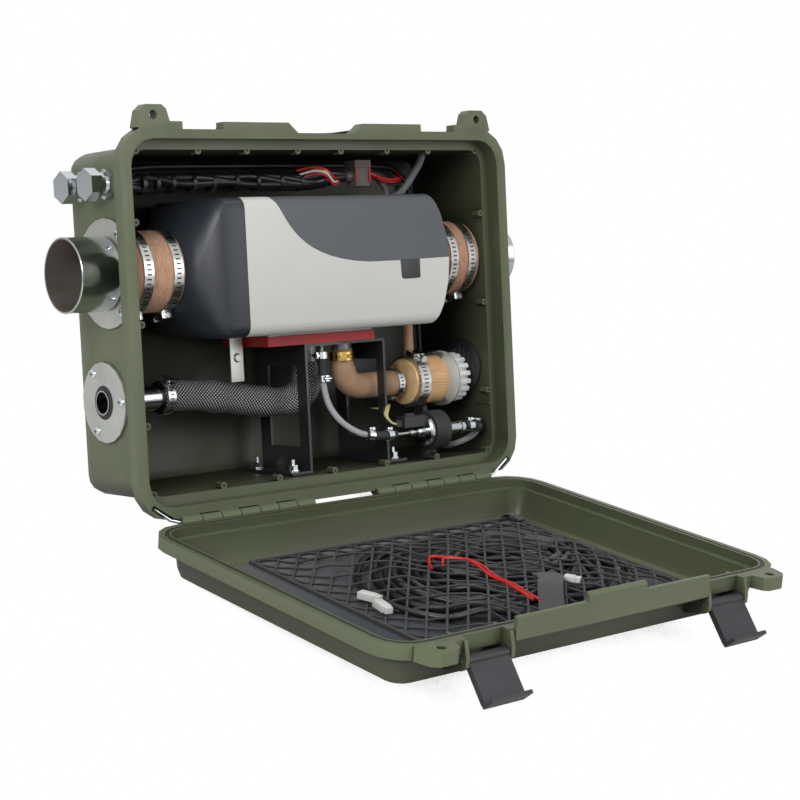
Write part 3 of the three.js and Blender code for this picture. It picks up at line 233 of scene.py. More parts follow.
def make_finishes(colors):
    """Every finish of the heater and its case, by a plain name."""
    def keep(name, finish):
        FINISH[name] = finish.material

    shell = Finish("olive shell plastic", colors.shell, 0.42, Specular_IOR_Level=0.45)
    shell.vary_color(6, 0.9, 1.1).vary_roughness(22, 0.36, 0.5)
    # The lighter edges of the shell are a painted highlight.
    shell.grain(1400, 0.00009, strength=0.5).paint_edge_highlight(tuple(c * 1.7 for c in colors.shell), 0.35)
    # Painted shade: the shell's colour darkens deep inside the open case, where little light reaches.
    shell.paint_corner_shade(0.32, 0.1)
    keep("shell", shell)
    black = Finish("black moulded plastic", srgb(40, 42, 46), 0.42)
    keep("black", black.vary_color(30, 0.85, 1.15).grain(1500, 0.00008, strength=0.5))
    hood = Finish("dark hood plastic", colors.hood, 0.4)
    keep("hood", hood.vary_color(8, 0.93, 1.07).grain(1800, 0.00008, strength=0.6))
    upper = Finish("grey cover plastic", colors.upper_cover, 0.42)
    keep("upper", upper.vary_color(8, 0.95, 1.05).grain(1800, 0.00008, strength=0.6))
    lower = Finish("white cover plastic", colors.lower_cover, 0.42)
    keep("lower", lower.vary_color(5, 0.96, 1.02).grain(1800, 0.00006, strength=0.5))
    steel = Finish("polished stainless steel", srgb(196, 199, 200), 0.16, 1.0)
    steel.vary_roughness(60, 0.1, 0.24, (1, 12, 12)).grain(500, 0.00004, (0.06, 1, 1), 0.4)
    keep("steel", steel.vary_color(14, 0.85, 1.05))
    bore = Finish("dull duct bore", srgb(120, 112, 104), 0.55, 0.5)
    keep("bore", bore.vary_color(20, 0.7, 1.15, stretch=(0.3, 1, 1)))
    band = Finish("band steel", srgb(205, 206, 205), 0.2, 1.0)
    keep("band", band.vary_roughness(90, 0.14, 0.32).vary_color(40, 0.85, 1.05))
    chrome = Finish("bright plating", srgb(214, 219, 224), 0.1, 1.0)
    keep("chrome", chrome.vary_roughness(70, 0.06, 0.16))
    plate = Finish("satin aluminium plate", srgb(196, 198, 193), 0.42, 0.85)
    plate.vary_roughness(40, 0.34, 0.5).vary_color(30, 0.9, 1.05).grain(900, 0.00005)
    keep("plate", plate)
    cast = Finish("cast aluminium", srgb(150, 150, 152), 0.5, 0.9)
    keep("cast", cast.grain(260, 0.0004).vary_color(40, 0.8, 1.1))
    enamel = Finish("black coated steel", srgb(30, 31, 34), 0.34, 0.0, Coat_Weight=0.3)
    keep("enamel", enamel.vary_roughness(50, 0.28, 0.42).grain(420, 0.0002, strength=0.5))
    rubber = Finish("black rubber", srgb(36, 37, 40), 0.62)
    keep("rubber", rubber.vary_color(50, 0.8, 1.2).grain(700, 0.0002, strength=0.5))
    cable = Finish("black cable jacket", srgb(26, 27, 31), 0.36)
    keep("cable", cable.vary_roughness(60, 0.3, 0.45).grain(350, 0.0002, strength=0.4))
    hose = Finish("wound brown hose", colors.hose, 0.75, Sheen_Weight=0.15)
    hose.vary_color(140, 0.8, 1.12, stretch=(6, 1, 1)).waves(420, 0.0006, distortion=1.2)
    keep("hose", hose.grain(900, 0.0003, (5, 1, 1), 0.6))
    elbow = Finish("moulded brown hose", srgb(180, 144, 114), 0.6)
    keep("elbow", elbow.vary_color(60, 0.85, 1.1).grain(500, 0.0003, strength=0.5))
    gasket = Finish("red silicone", srgb(170, 32, 34), 0.5)
    keep("gasket", gasket.vary_color(40, 0.85, 1.1).grain(500, 0.0002))
    clear = Finish("clear housing", (0.93, 0.95, 0.94), 0.06, Transmission_Weight=0.92, IOR=1.2)
    keep("clear", clear)
    paper = Finish("pleated filter paper", srgb(240, 188, 108), 0.8)
    keep("paper", paper.vary_color(120, 0.85, 1.1).grain(900, 0.0003))
    cap = Finish("frosted cap", srgb(238, 238, 238), 0.45, Subsurface_Weight=0.1)
    keep("cap", cap.vary_color(30, 0.94, 1.02))
    tube = Finish("fuel tube", srgb(205, 208, 210), 0.28, Transmission_Weight=0.35, IOR=1.4)
    keep("tube", tube.vary_color(30, 0.92, 1.05))
    board = Finish("lacquered board", srgb(26, 88, 46), 0.35)
    keep("board", board.vary_color(200, 0.8, 1.2))
    net = Finish("net cord", srgb(22, 22, 25), 0.7, Sheen_Weight=0.2)
    keep("net", net.waves(900, 0.0002, "DIAGONAL").vary_color(60, 0.8, 1.25))
    web = Finish("woven strap", srgb(34, 34, 38), 0.75, Sheen_Weight=0.3)
    keep("web", web.waves(500, 0.0002, "X").waves(500, 0.0002, "Y").vary_color(60, 0.8, 1.2))
    mat = Finish("foam mat", colors.mat, 0.85, Sheen_Weight=0.2)
    keep("mat", mat.vary_color(26, 0.85, 1.15).grain(800, 0.0004))
    keep("red", Finish("red wire", srgb(206, 30, 30), 0.35).vary_color(60, 0.85, 1.1))
    keep("yellow", Finish("pale yellow wire", srgb(222, 214, 140), 0.4).vary_color(60, 0.9, 1.1))
    keep("white", Finish("white wire and ties", srgb(226, 226, 222), 0.4).vary_color(60, 0.92, 1.04))
    keep("brass", Finish("brass clip", srgb(206, 170, 96), 0.3, 1.0).vary_roughness(60, 0.2, 0.4))
    keep("grey", Finish("grey corrugated tube", srgb(120, 122, 124), 0.6).vary_color(60, 0.85, 1.1))
    braid = Finish("braided sleeve", srgb(70, 72, 75), 0.42, 0.3)
    weave = braid.weave(13)
    strands = [(0.0, srgb(22, 23, 26)), (0.5, srgb(62, 64, 67)), (0.8, srgb(214, 216, 218))]
    braid.link(braid.ramp(weave, strands), braid.shader.inputs["Base Color"])
    keep("braid", braid.raise_by(weave, 0.0009))
    keep("fuse", Finish("grey-brown fuse case", srgb(96, 86, 82), 0.5).vary_color(80, 0.85, 1.1))


# ---------------------------------------------------------------- making pieces
def dress(node, finish, smooth=32):
    """A CAD node keeps its shape, gets its finish and is shaded smooth up to an angle."""
    piece = NODES[node]
    piece.data.materials.clear()
    piece.data.materials.append(FINISH[finish])
    soften(piece, smooth)
    return piece


def soften(piece, angle=32):
    weld = piece.modifiers.new("weld", "WELD")
    weld.merge_threshold = 1e-5
    piece.data.polygons.foreach_set("use_smooth", [True] * len(piece.data.polygons))
    piece.data.update()
    for name in ("custom_normal", "sharp_edge"):
        if name in piece.data.attributes:
            piece.data.attributes.remove(piece.data.attributes[name])
    split = piece.modifiers.new("edges", "EDGE_SPLIT")
    split.split_angle = math.radians(angle)


def place(name, draw, finish, body="case", angle=35, instead_of=()):
    """A new piece riding on a body, from a function that draws its mesh in the case's frame or,
    for the lid, in the closed lid's. More than one finish is given with commas, in the order of
    the mesh's material numbers."""
    mesh = mesh_from(name, draw)
    mesh.transform(LID if body == "lid" else CASE)
    piece = bpy.data.objects.new(name, mesh)
    bpy.context.scene.collection.objects.link(piece)
    for each in finish.split(","):
        mesh.materials.append(FINISH[each])
    if instead_of:
        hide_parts(*instead_of)
    for polygon in mesh.polygons:
        polygon.use_smooth = True
    mesh.set_sharp_from_angle(angle=math.radians(angle))
    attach(piece, body)
    return piece


def mesh_from(name, draw):
    """A mesh from a function that fills a bmesh."""
    shape = bmesh.new()
    draw(shape)
    bmesh.ops.remove_doubles(shape, verts=shape.verts, dist=1e-7)
    bmesh.ops.recalc_face_normals(shape, faces=shape.faces)
    mesh = bpy.data.meshes.new(name)
    shape.to_mesh(mesh)
    shape.free()
    return mesh


def ring_skin(shape, rings, closed=False, capped=True, distances=None):
    """Faces between rings of points, each ring a list of vectors. Distances along the rings, in
    millimetres, and turns round them become the surface coordinates that woven finishes use."""
    rows = [[shape.verts.new(p) for p in ring] for ring in rings]
    count = len(rows[0])
    uv = shape.loops.layers.uv.verify()
    pairs = list(zip(rows, rows[1:] + rows[:1]) if closed else zip(rows, rows[1:]))
    for row, (a, b) in enumerate(pairs):
        for i in range(count):
            j = (i + 1) % count
            face = shape.faces.new((a[i], a[j], b[j], b[i]))
            if distances:
                near, far = distances[row], distances[row + 1]
                turns = (i / count, (i + 1) / count, (i + 1) / count, i / count)
                for loop, u, v in zip(face.loops, (near, near, far, far), turns):
                    loop[uv].uv = (u * 0.01, v)
    if capped and not closed:
        shape.faces.new(reversed(rows[0]))
        shape.faces.new(rows[-1])


def spin(shape, profile, centre, sides=48, axis="X"):
    """A closed profile of [along, radius] turned about an axis through a centre, in millimetres."""
    cx, cy, cz = centre
    rings = []
    for along, radius in profile:
        ring = []
        for i in range(sides):
            a = 2 * math.pi * i / sides
            u, v = radius * math.cos(a), radius * math.sin(a)
            if axis == "X":
                ring.append(at(cx + along, cy + u, cz + v))
            elif axis == "Y":
                ring.append(at(cx + u, cy + along, cz + v))
            else:
                ring.append(at(cx + u, cy + v, cz + along))
        rings.append(ring)
    hollow = profile[0][1] > 1e-6
    ring_skin(shape, rings, closed=hollow, capped=not hollow)


def rod(start, end, radius):
    """The profile of a plain solid cylinder, for spin."""
    return [(start, AXIS), (start, radius), (end, radius), (end, AXIS)]


def block(shape, x0, x1, y0, y1, z0, z1, bevel=0.0):
    verts = bmesh.ops.create_cube(shape, size=1)["verts"]
    size = Matrix.Diagonal(((x1 - x0) * MM, (y1 - y0) * MM, (z1 - z0) * MM, 1))
    middle = Matrix.Translation(at((x0 + x1) / 2, (y0 + y1) / 2, (z0 + z1) / 2))
    bmesh.ops.transform(shape, verts=verts, matrix=middle @ size)
    if bevel:
        edges = list({e for v in verts for e in v.link_edges})
        bmesh.ops.bevel(shape, geom=edges, offset=bevel * MM, segments=2, affect="EDGES", profile=0.6)


def smooth_route(points, step=2.0):
    """Points in millimetres about a step apart on a smooth curve through those given."""
    knots = [Vector(p) for p in points]
    ends = [knots[0]] + knots + [knots[-1]]
    route = []
    for p0, p1, p2, p3 in zip(ends, ends[1:], ends[2:], ends[3:]):
        pieces = max(1, round((p2 - p1).length / step))
        for i in range(pieces):
            t = i / pieces
            route.append(0.5 * ((2 * p1) + (p2 - p0) * t + (2 * p0 - 5 * p1 + 4 * p2 - p3) * t * t
                                + (3 * p1 - p0 - 3 * p2 + p3) * t ** 3))
    route.append(knots[-1])
    return route


def tube(shape, route, radius, sides=12, shape_of=None, flat=None):
    """A round tube along a route in millimetres; its radius may change with distance along it.
    flat gives a half width and half height instead, as for a strap."""
    tangent = (route[1] - route[0]).normalized()
    side = tangent.orthogonal().normalized()
    if flat:
        side = Vector((0, 1, 0)).cross(tangent)
        side = side.normalized() if side.length > 1e-6 else tangent.orthogonal().normalized()
    rings = []
    distances = []
    travelled = 0.0
    for i, point in enumerate(route):
        ahead = route[min(i + 1, len(route) - 1)] - route[max(i - 1, 0)]
        tangent = ahead.normalized()
        side = (side - tangent * side.dot(tangent)).normalized()
        up = tangent.cross(side)
        if i:
            travelled += (point - route[i - 1]).length
        distances.append(travelled)
        r = shape_of(travelled) if shape_of else radius
        ring = []
        for k in range(sides):
            a = 2 * math.pi * k / sides
            du, dv = math.cos(a), math.sin(a)
            if flat:
                du, dv = max(-0.92, min(0.92, du * 1.3)) * flat[0], max(-0.9, min(0.9, dv * 1.3)) * flat[1]
            else:
                du, dv = du * r, dv * r
            ring.append(at(*(point + side * du + up * dv)))
        rings.append(ring)
    ring_skin(shape, rings, distances=distances)


def wire(name, points, radius, finish, sides=10, step=2.0, shape_of=None, instead_of=(), body="case"):
    route = smooth_route(points, step)

    def draw(shape):
        tube(shape, route, radius, sides, shape_of)
    return place(name, draw, finish, body, 60, instead_of)


def moved(shape, draw, matrix):
    """Draws into a bmesh and moves only what was drawn."""
    before = set(shape.verts)
    draw(shape)
    bmesh.ops.transform(shape, verts=[v for v in shape.verts if v not in before], matrix=matrix)


def turned_about_x(degrees):
    return Matrix.Rotation(math.radians(degrees), 4, "X")


def band(shape, radius, width, slots):
    """A worm-drive band about the X axis at the origin, slotted round its middle, its screw's
    housing at the top. Every third column of faces is a slot."""
    outer = radius + 1.3
    known = set(shape.faces)
    profile = [(-width / 2, radius), (width / 2, radius), (width / 2, outer), (width * 0.22, outer),
               (-width * 0.22, outer), (-width / 2, outer)]
    spin(shape, profile, (0, 0, 0), slots * 3)
    openings = []
    for face in [f for f in shape.faces if f not in known]:
        middle = face.calc_center_median()
        column = int((math.atan2(middle.z, middle.y) % (2 * math.pi)) / (2 * math.pi) * slots * 3)
        on_top = math.hypot(middle.y, middle.z) > (radius + 1.0) * MM and abs(middle.x) < width * 0.2 * MM
        if on_top and column % 3 == 0:
            openings.append(face)
    bmesh.ops.inset_individual(shape, faces=openings, thickness=0.1 * MM, depth=-0.6 * MM)
    for face in openings:
        face.material_index = 1
    size = min(1.0, radius / 24)
    top = outer + 0.2
    block(shape, -width * 0.56, width * 0.56, -7 * size, 8 * size, top - 1.2, top + 6.2 * size, 1.2 * size)
    for start, end, thick in ((-13, 10, 2.6), (-16, -12.6, 4.2)):
        profile = rod(start * size, end * size, thick * size)
        spin(shape, profile, (0, 0, top + 3.2 * size), 6 if thick > 4 else 14, "Y")


def band_at(name, where, radius, width, turn, slots=56, axis="X", instead_of=(), finish="band,enamel"):
    def draw(shape):
        band(shape, radius, width, slots)
        side = Matrix.Rotation(math.radians(-90), 4, "Y") if axis == "Z" else Matrix.Identity(4)
        matrix = Matrix.Translation(at(*where)) @ side @ turned_about_x(turn)
        bmesh.ops.transform(shape, verts=shape.verts, matrix=matrix)
    return place(name, draw, finish, instead_of=instead_of)


def ear_clamp(shape, where, radius, width, direction):
    """A narrow crimped clamp with its ear, round a small tube along a direction."""
    aim = Vector(direction).normalized().to_track_quat("X", "Z").to_matrix().to_4x4()

    def draw(part):
        spin(part, [(-width / 2, radius), (width / 2, radius), (width / 2, radius + 0.9),
                    (-width / 2, radius + 0.9)], (0, 0, 0), 24)
        block(part, -width / 2, width / 2, -2.6, 2.6, radius + 0.4, radius + 3.4, 0.7)
        spin(part, rod(-4.5, 5, 1.7), (0, 0, radius + 2.4), 10, "Y")
    moved(shape, draw, Matrix.Translation(at(*where)) @ aim)


def screw_head(shape, where, radius, height, side):
    """A domed head on a side wall with a cross recess; side is -1 on the left and 1 on the right."""
    x, y, z = where
    dome = [(0, radius), (height * 0.45, radius), (height * 0.8, radius * 0.8), (height, radius * 0.5)]
    outline = [(0, AXIS)] + dome + [(height, AXIS)]
    spin(shape, [(side * u, r) for u, r in outline], (x, y, z), 20)
    for wide, tall in ((radius * 0.55, radius * 0.13), (radius * 0.13, radius * 0.55)):
        known = set(shape.faces)
        x0, x1 = sorted((x + side * (height - 0.6), x + side * (height + 0.05)))
        block(shape, x0, x1, y - wide, y + wide, z - tall, z + tall)
        for face in set(shape.faces) - known:
            face.material_index = 1


WALL = 231.8  # outer face of the side walls, mm from the middle
DUCT = (62.0, 230.0)  # the air duct's axis: depth and height
FILTER = (60, 95)  # the filter's axis
PUMP = (22, 42)  # the fuel pump's axis
EXHAUST = (80, 102.3)  # the exhaust pipe's axis
PLATE = 2.5  # thickness of the wall plates


# ---------------------------------------------------------------- sizes a user would change
def color(name, description, *value):
    """A colour that a user may change, its default given as read on a screen."""
    return FloatVectorProperty(
        name=name, description=description, subtype="COLOR", default=srgb(*value), min=0, max=1)


class HeaterColors(bpy.types.PropertyGroup):
    shell: color("Case Shell", "Colour of the moulded case and lid", 88, 95, 70)
    hood: color("Outlet Hood", "Colour of the heater's dark end", 38, 42, 49)
    upper_cover: color("Upper Cover", "Colour of the heater's grey upper cover", 84, 88, 92)
    lower_cover: color("Lower Cover", "Colour of the heater's white lower cover", 214, 215, 210)
    hose: color("Air Hose", "Colour of the wound air hoses", 238, 186, 152)
    mat: color("Lid Mat", "Colour of the foam mat in the lid", 40, 46, 54)


class HeaterDetail(bpy.types.PropertyGroup):
    hose_ridges: IntProperty(
        name="Hose Ridges", description="Fine ridges round each air hose", default=26, min=8, max=60)
    band_slots: IntProperty(
        name="Band Slots", description="Slots in one turn of a hose band", default=56, min=20, max=90)
    pleats: IntProperty(
        name="Filter Pleats", description="Pleats round the filter element", default=44, min=16, max=80)
    net_pitch: FloatProperty(
        name="Net Pitch", description="Width of one diamond of the cargo net", unit="LENGTH",
        default=0.0245, min=0.01, max=0.05)
    net_strand: FloatProperty(
        name="Net Strand", description="Diameter of the cargo net's cord", unit="LENGTH",
        default=0.0026, min=0.001, max=0.005)


class MaterialsOperator(bpy.types.Operator):
    """Make every finish of the heater and its case"""
    bl_idname = "heater_case.make_finishes"
    bl_label = "Finishes"

    def execute(self, context):
        make_finishes(context.scene.heater_colors)
        return {"FINISHED"}


class ShellOperator(bpy.types.Operator):
    """Finish the case, its lid, hinge, latches and handle"""
    bl_idname = "heater_case.finish_shell"
    bl_label = "Case and Lid"

    def execute(self, context):
        for node in ("case_body", "case_lid"):
            dress(node, "shell", 34)
        dress("lid_seal", "rubber")
        for node in ("latch_left", "latch_right", "carry_handle"):
            dress(node, "black")
        top, bottom, side = 346.9, 12.6, 224.3
        bosses = [(x, top) for x in (-220, -148.5, -89.5, -25.5, 30.7, 93.3, 151.2, 220)]
        bosses += [(x, bottom) for x in (-221.5, -139.2, -69.5, 2.2, 73.1, 144.3, 220)]
        bosses += [(x, z) for z in (80, 179, 278) for x in (-side, side)]

        # Thin dark discs on the bosses' faces: painted shade standing in for the depth of their screw holes.
        def draw_hole_shade(shape):
            for x, z in bosses:
                spin(shape, rod(16.5, 16.9, 1.7), (x, 0, z), 12, "Y")
        place("boss_holes", draw_hole_shade, "rubber")
        for node in ("hinge_rod_left", "hinge_rod_right", "latch_pin_left", "latch_pin_right"):
            dress(node, "chrome", 60)
        return {"FINISHED"}


class FittingsOperator(bpy.types.Operator):
    """Finish the pipes, plates and caps in the case's walls"""
    bl_idname = "heater_case.finish_fittings"
    bl_label = "Wall Fittings"

    def execute(self, context):
        dress("exhaust_outlet_pipe", "steel", 40)
        outside = [(-12, 33), (2.6, 33), (3.4, 34.8), (6, 36.4), (9, 36.8), (48.6, 36.8), (49.4, 37.2),
                   (50, 36.8)]
        inside = [(50, 35.4), (9, 35.4), (6, 35), (2, 31.8), (-12, 31.8)]
        for side, node in ((-1, "hot_air_outlet_pipe"), (1, "cold_air_inlet_pipe")):
            def draw(shape, side=side):
                spin(shape, [(side * (WALL + u), r) for u, r in outside + inside], (0, *DUCT), 96)
                for face in shape.faces:
                    middle = face.calc_center_median()
                    if math.hypot(middle.y - DUCT[0] * MM, middle.z - DUCT[1] * MM) < 35.6 * MM:
                        face.material_index = 1
            place(node + "_turned", draw, "steel,bore", angle=30, instead_of=(node,))
        for node in ("hot_air_outlet_flange", "cold_air_inlet_flange", "exhaust_flange_plate"):
            dress(node, "plate")
        for use in ("fuel", "power"):
            dress(use + "_bulkhead_fitting", "chrome")
            dress(use + "_bulkhead_cap", "chrome")
        dress("exhaust_grommet", "rubber", 40)
        dress("intake_vent", "black")
        return {"FINISHED"}


class HeaterOperator(bpy.types.Operator):
    """Finish the heater's covers, hood, collar and what is inside it"""
    bl_idname = "heater_case.finish_heater"
    bl_label = "Heater"

    def execute(self, context):
        dress("heater_upper_cover", "upper")
        dress("heater_lower_cover", "lower")
        dress("hot_air_outlet_hood", "hood", 40)
        dress("cold_air_inlet_collar", "black", 40)
        dress("heat_exchanger", "cast")
        dress("blower_motor", "cast", 40)
        dress("blower_wheel", "black")
        dress("control_board", "board")
        dress("base_gasket", "gasket")

        def draw_tab(shape):
            block(shape, 87.5, 112.5, -6.7, -5.4, 210.5, 230.5, 0.6)
        place("cover_badge_blank", draw_tab, "black")
        return {"FINISHED"}


class DuctsOperator(bpy.types.Operator):
    """Make the wound air hoses and the slotted bands that hold them"""
    bl_idname = "heater_case.make_ducts"
    bl_label = "Air Hoses and Bands"

    def execute(self, context):
        detail = context.scene.heater_detail
        inner = 226.9 - 4.3
        ends = {"hot_air_hose": (-inner, -168.3), "cold_air_hose": (178.3, inner)}
        for node, (x0, x1) in ends.items():
            def draw(shape, x0=x0, x1=x1):
                count = detail.hose_ridges * 4
                outer = []
                for i in range(count + 1):
                    wave = math.sin(i * math.pi / 2)
                    outer.append((x0 + (x1 - x0) * i / count, 40.8 + 0.28 * wave))
                profile = [(x0, 37.6), *outer, (x1, 37.6)]
                spin(shape, profile, (0, *DUCT), 96)
            place(node + "_wound", draw, "hose", angle=60, instead_of=(node,))
        places = {"hot_air_band_wall": -inner + 12, "hot_air_band_heater": -176.3,
                  "cold_air_band_heater": 186.3, "cold_air_band_wall": inner - 10}
        for node, x in places.items():
            band_at(node + "_slotted", (x, *DUCT), 41.35, 11, 170, detail.band_slots, instead_of=(node,))
        return {"FINISHED"}


class PlateScrewsOperator(bpy.types.Operator):
    """Put screws in the wall plates and bolts in the bracket's feet"""
    bl_idname = "heater_case.make_screws"
    bl_label = "Screws and Bolts"

    def execute(self, context):
        def draw_screws(shape):
            for side in (-1, 1):
                for angle in (0, 125, 235):
                    a = math.radians(angle)
                    where = (side * (WALL + PLATE), DUCT[0] + 46 * math.cos(a), DUCT[1] + 46 * math.sin(a))
                    screw_head(shape, where, 4.5, 2.8, side)
            for angle in (178, 58, -62):
                a = math.radians(angle)
                where = (-WALL - PLATE, EXHAUST[0] + 33 * math.cos(a), EXHAUST[1] + 33 * math.sin(a))
                screw_head(shape, where, 4.5, 2.8, -1)
        place("plate_screws", draw_screws, "chrome,enamel")
        for label, x, y in (("left_front", -34, 42), ("left_back", -34, 106),
                            ("right_front", 102, 42), ("right_back", 102, 106)):
            node = "bracket_bolt_" + label

            def draw_bolt(shape, x=x, y=y):
                floor = 14.2
                washer = [(floor, AXIS), (floor, 7.6), (floor + 1.4, 7.6), (floor + 1.5, AXIS)]
                spin(shape, washer, (x, y, 0), 28, "Z")
                for low, high, radius, sides in ((1.4, 6.6, 5.2, 6), (6.6, 12.2, 2.7, 16)):
                    head = [(floor + low, AXIS), (floor + low, radius), (floor + high, radius),
                            (floor + high + 0.3, radius * 0.8), (floor + high + 0.3, AXIS)]
                    spin(shape, head, (x, y, 0), sides, "Z")
            place(node + "_nut", draw_bolt, "chrome", instead_of=(node,))
        return {"FINISHED"}


class ExhaustOperator(bpy.types.Operator):
    """Make the bracket and the exhaust in its braided sleeve"""
    bl_idname = "heater_case.make_exhaust"
    bl_label = "Bracket and Exhaust"

    def execute(self, context):
        dress("heater_bracket", "enamel")
        rough = random.Random(4)
        phases = [rough.uniform(0, 6.28) for _ in range(3)]

        def swell(s):
            waves = sum(math.sin(s / w + p) for w, p in zip((5.3, 9.1, 17.0), phases))
            return 16.1 + 0.45 * waves
        wire("exhaust_sleeve_braided", [
            (-171, 80, 102.3), (-160, 80, 102.3), (-148, 80, 102.3), (-115, 80.5, 99.5), (-80, 80.5, 94),
            (-45, 79, 88), (-16, 77, 85.5), (2, 75.2, 90), (11.5, 74.2, 100), (14, 74, 112), (14, 74, 119),
            (14, 74, 126)], 16, "braid", 40, 1.5, swell, ("exhaust_sleeved_pipe",))
        band_at("exhaust_band_slotted", (-165, *EXHAUST), 16.9, 9, 30, 26, instead_of=("exhaust_band",))

        def draw_tab(shape):
            block(shape, -94, -78, 59, 61, 112, 158, 0.6)
            spin(shape, [(56.4, AXIS), (56.4, 3.4), (59, 5), (59, AXIS)], (-86, 0, 137), 20, "Y")
        place("cover_tab", draw_tab, "plate")
        return {"FINISHED"}


class IntakeOperator(bpy.types.Operator):
    """Make the combustion air elbow, the filter with its pleats and cap, and their bands"""
    bl_idname = "heater_case.make_intake"
    bl_label = "Air Intake and Filter"

    def execute(self, context):
        detail = context.scene.heater_detail
        wire("intake_elbow_moulded", [
            (52, 60, 137), (52, 60, 127), (52, 60, 116.5), (54.5, 60, 107), (61.5, 60, 99.5),
            (72, 60, 95.8), (87, 60, 95), (103, 60, 95), (116, 60, 95), (129, 60, 95)], 14, "elbow", 40, 1.5,
            lambda s: min(14, max(11.8, 11.8 + (s - 12) * 0.25)), ("intake_elbow_hose",))
        band_at("intake_band_slotted", (123, *FILTER), 14.4, 8, -160, 24, instead_of=("intake_band",))
        band_at("elbow_top_band", (52, 60, 129.5), 12.1, 9, 60, 20, "Z", finish="brass,enamel")
        dress("filter_canister", "clear", 40)

        def draw_pleats(shape):
            ring = []
            for i in range(detail.pleats * 2):
                a = math.pi * i / detail.pleats
                r = 24.4 if i % 2 else 21.6
                ring.append((60 + r * math.cos(a), 95 + r * math.sin(a)))
            rings = [[at(x, y, z) for y, z in ring] for x in (139, 181.8)]
            ring_skin(shape, rings)
            spin(shape, rod(136.2, 139, 24.6), (0, *FILTER), 64)
            spin(shape, rod(181.8, 184, 24.6), (0, *FILTER), 64)
        place("filter_pleats", draw_pleats, "paper", angle=20,
              instead_of=("filter_element",))

        def draw_cap(shape):
            spin(shape, [(194.4, AXIS), (194.4, 28), (198.6, 28), (199.4, 27.2), (200, 24.4), (213.6, 21.4),
                         (215.4, 19.6), (216, 17), (216, 12), (214.6, 11), (214.6, AXIS)], (0, *FILTER), 72)
            for i in range(18):
                turn = Matrix.Translation(at(0, *FILTER)) @ turned_about_x(20 * i)
                moved(shape, lambda part: block(part, 198, 213.4, -2.5, 2.5, 19, 27.4, 0.6), turn)
        place("filter_cap_toothed", draw_cap, "cap", "screw_cap",
              instead_of=("filter_cap",))

        def draw_strap(shape):
            band(shape, 27.35, 14, 40)
            bmesh.ops.transform(shape, verts=shape.verts,
                                matrix=Matrix.Translation(at(147, *FILTER)) @ turned_about_x(20))
            known = set(shape.faces)
            tube(shape, smooth_route([(147, 60, 123.5), (147, 60, 140), (147, 60, 159.7)]), 5.5, 20)
            for face in set(shape.faces) - known:
                face.material_index = 2
        place("filter_band_slotted", draw_strap, "band,enamel,elbow",
              instead_of=("filter_band",))
        return {"FINISHED"}


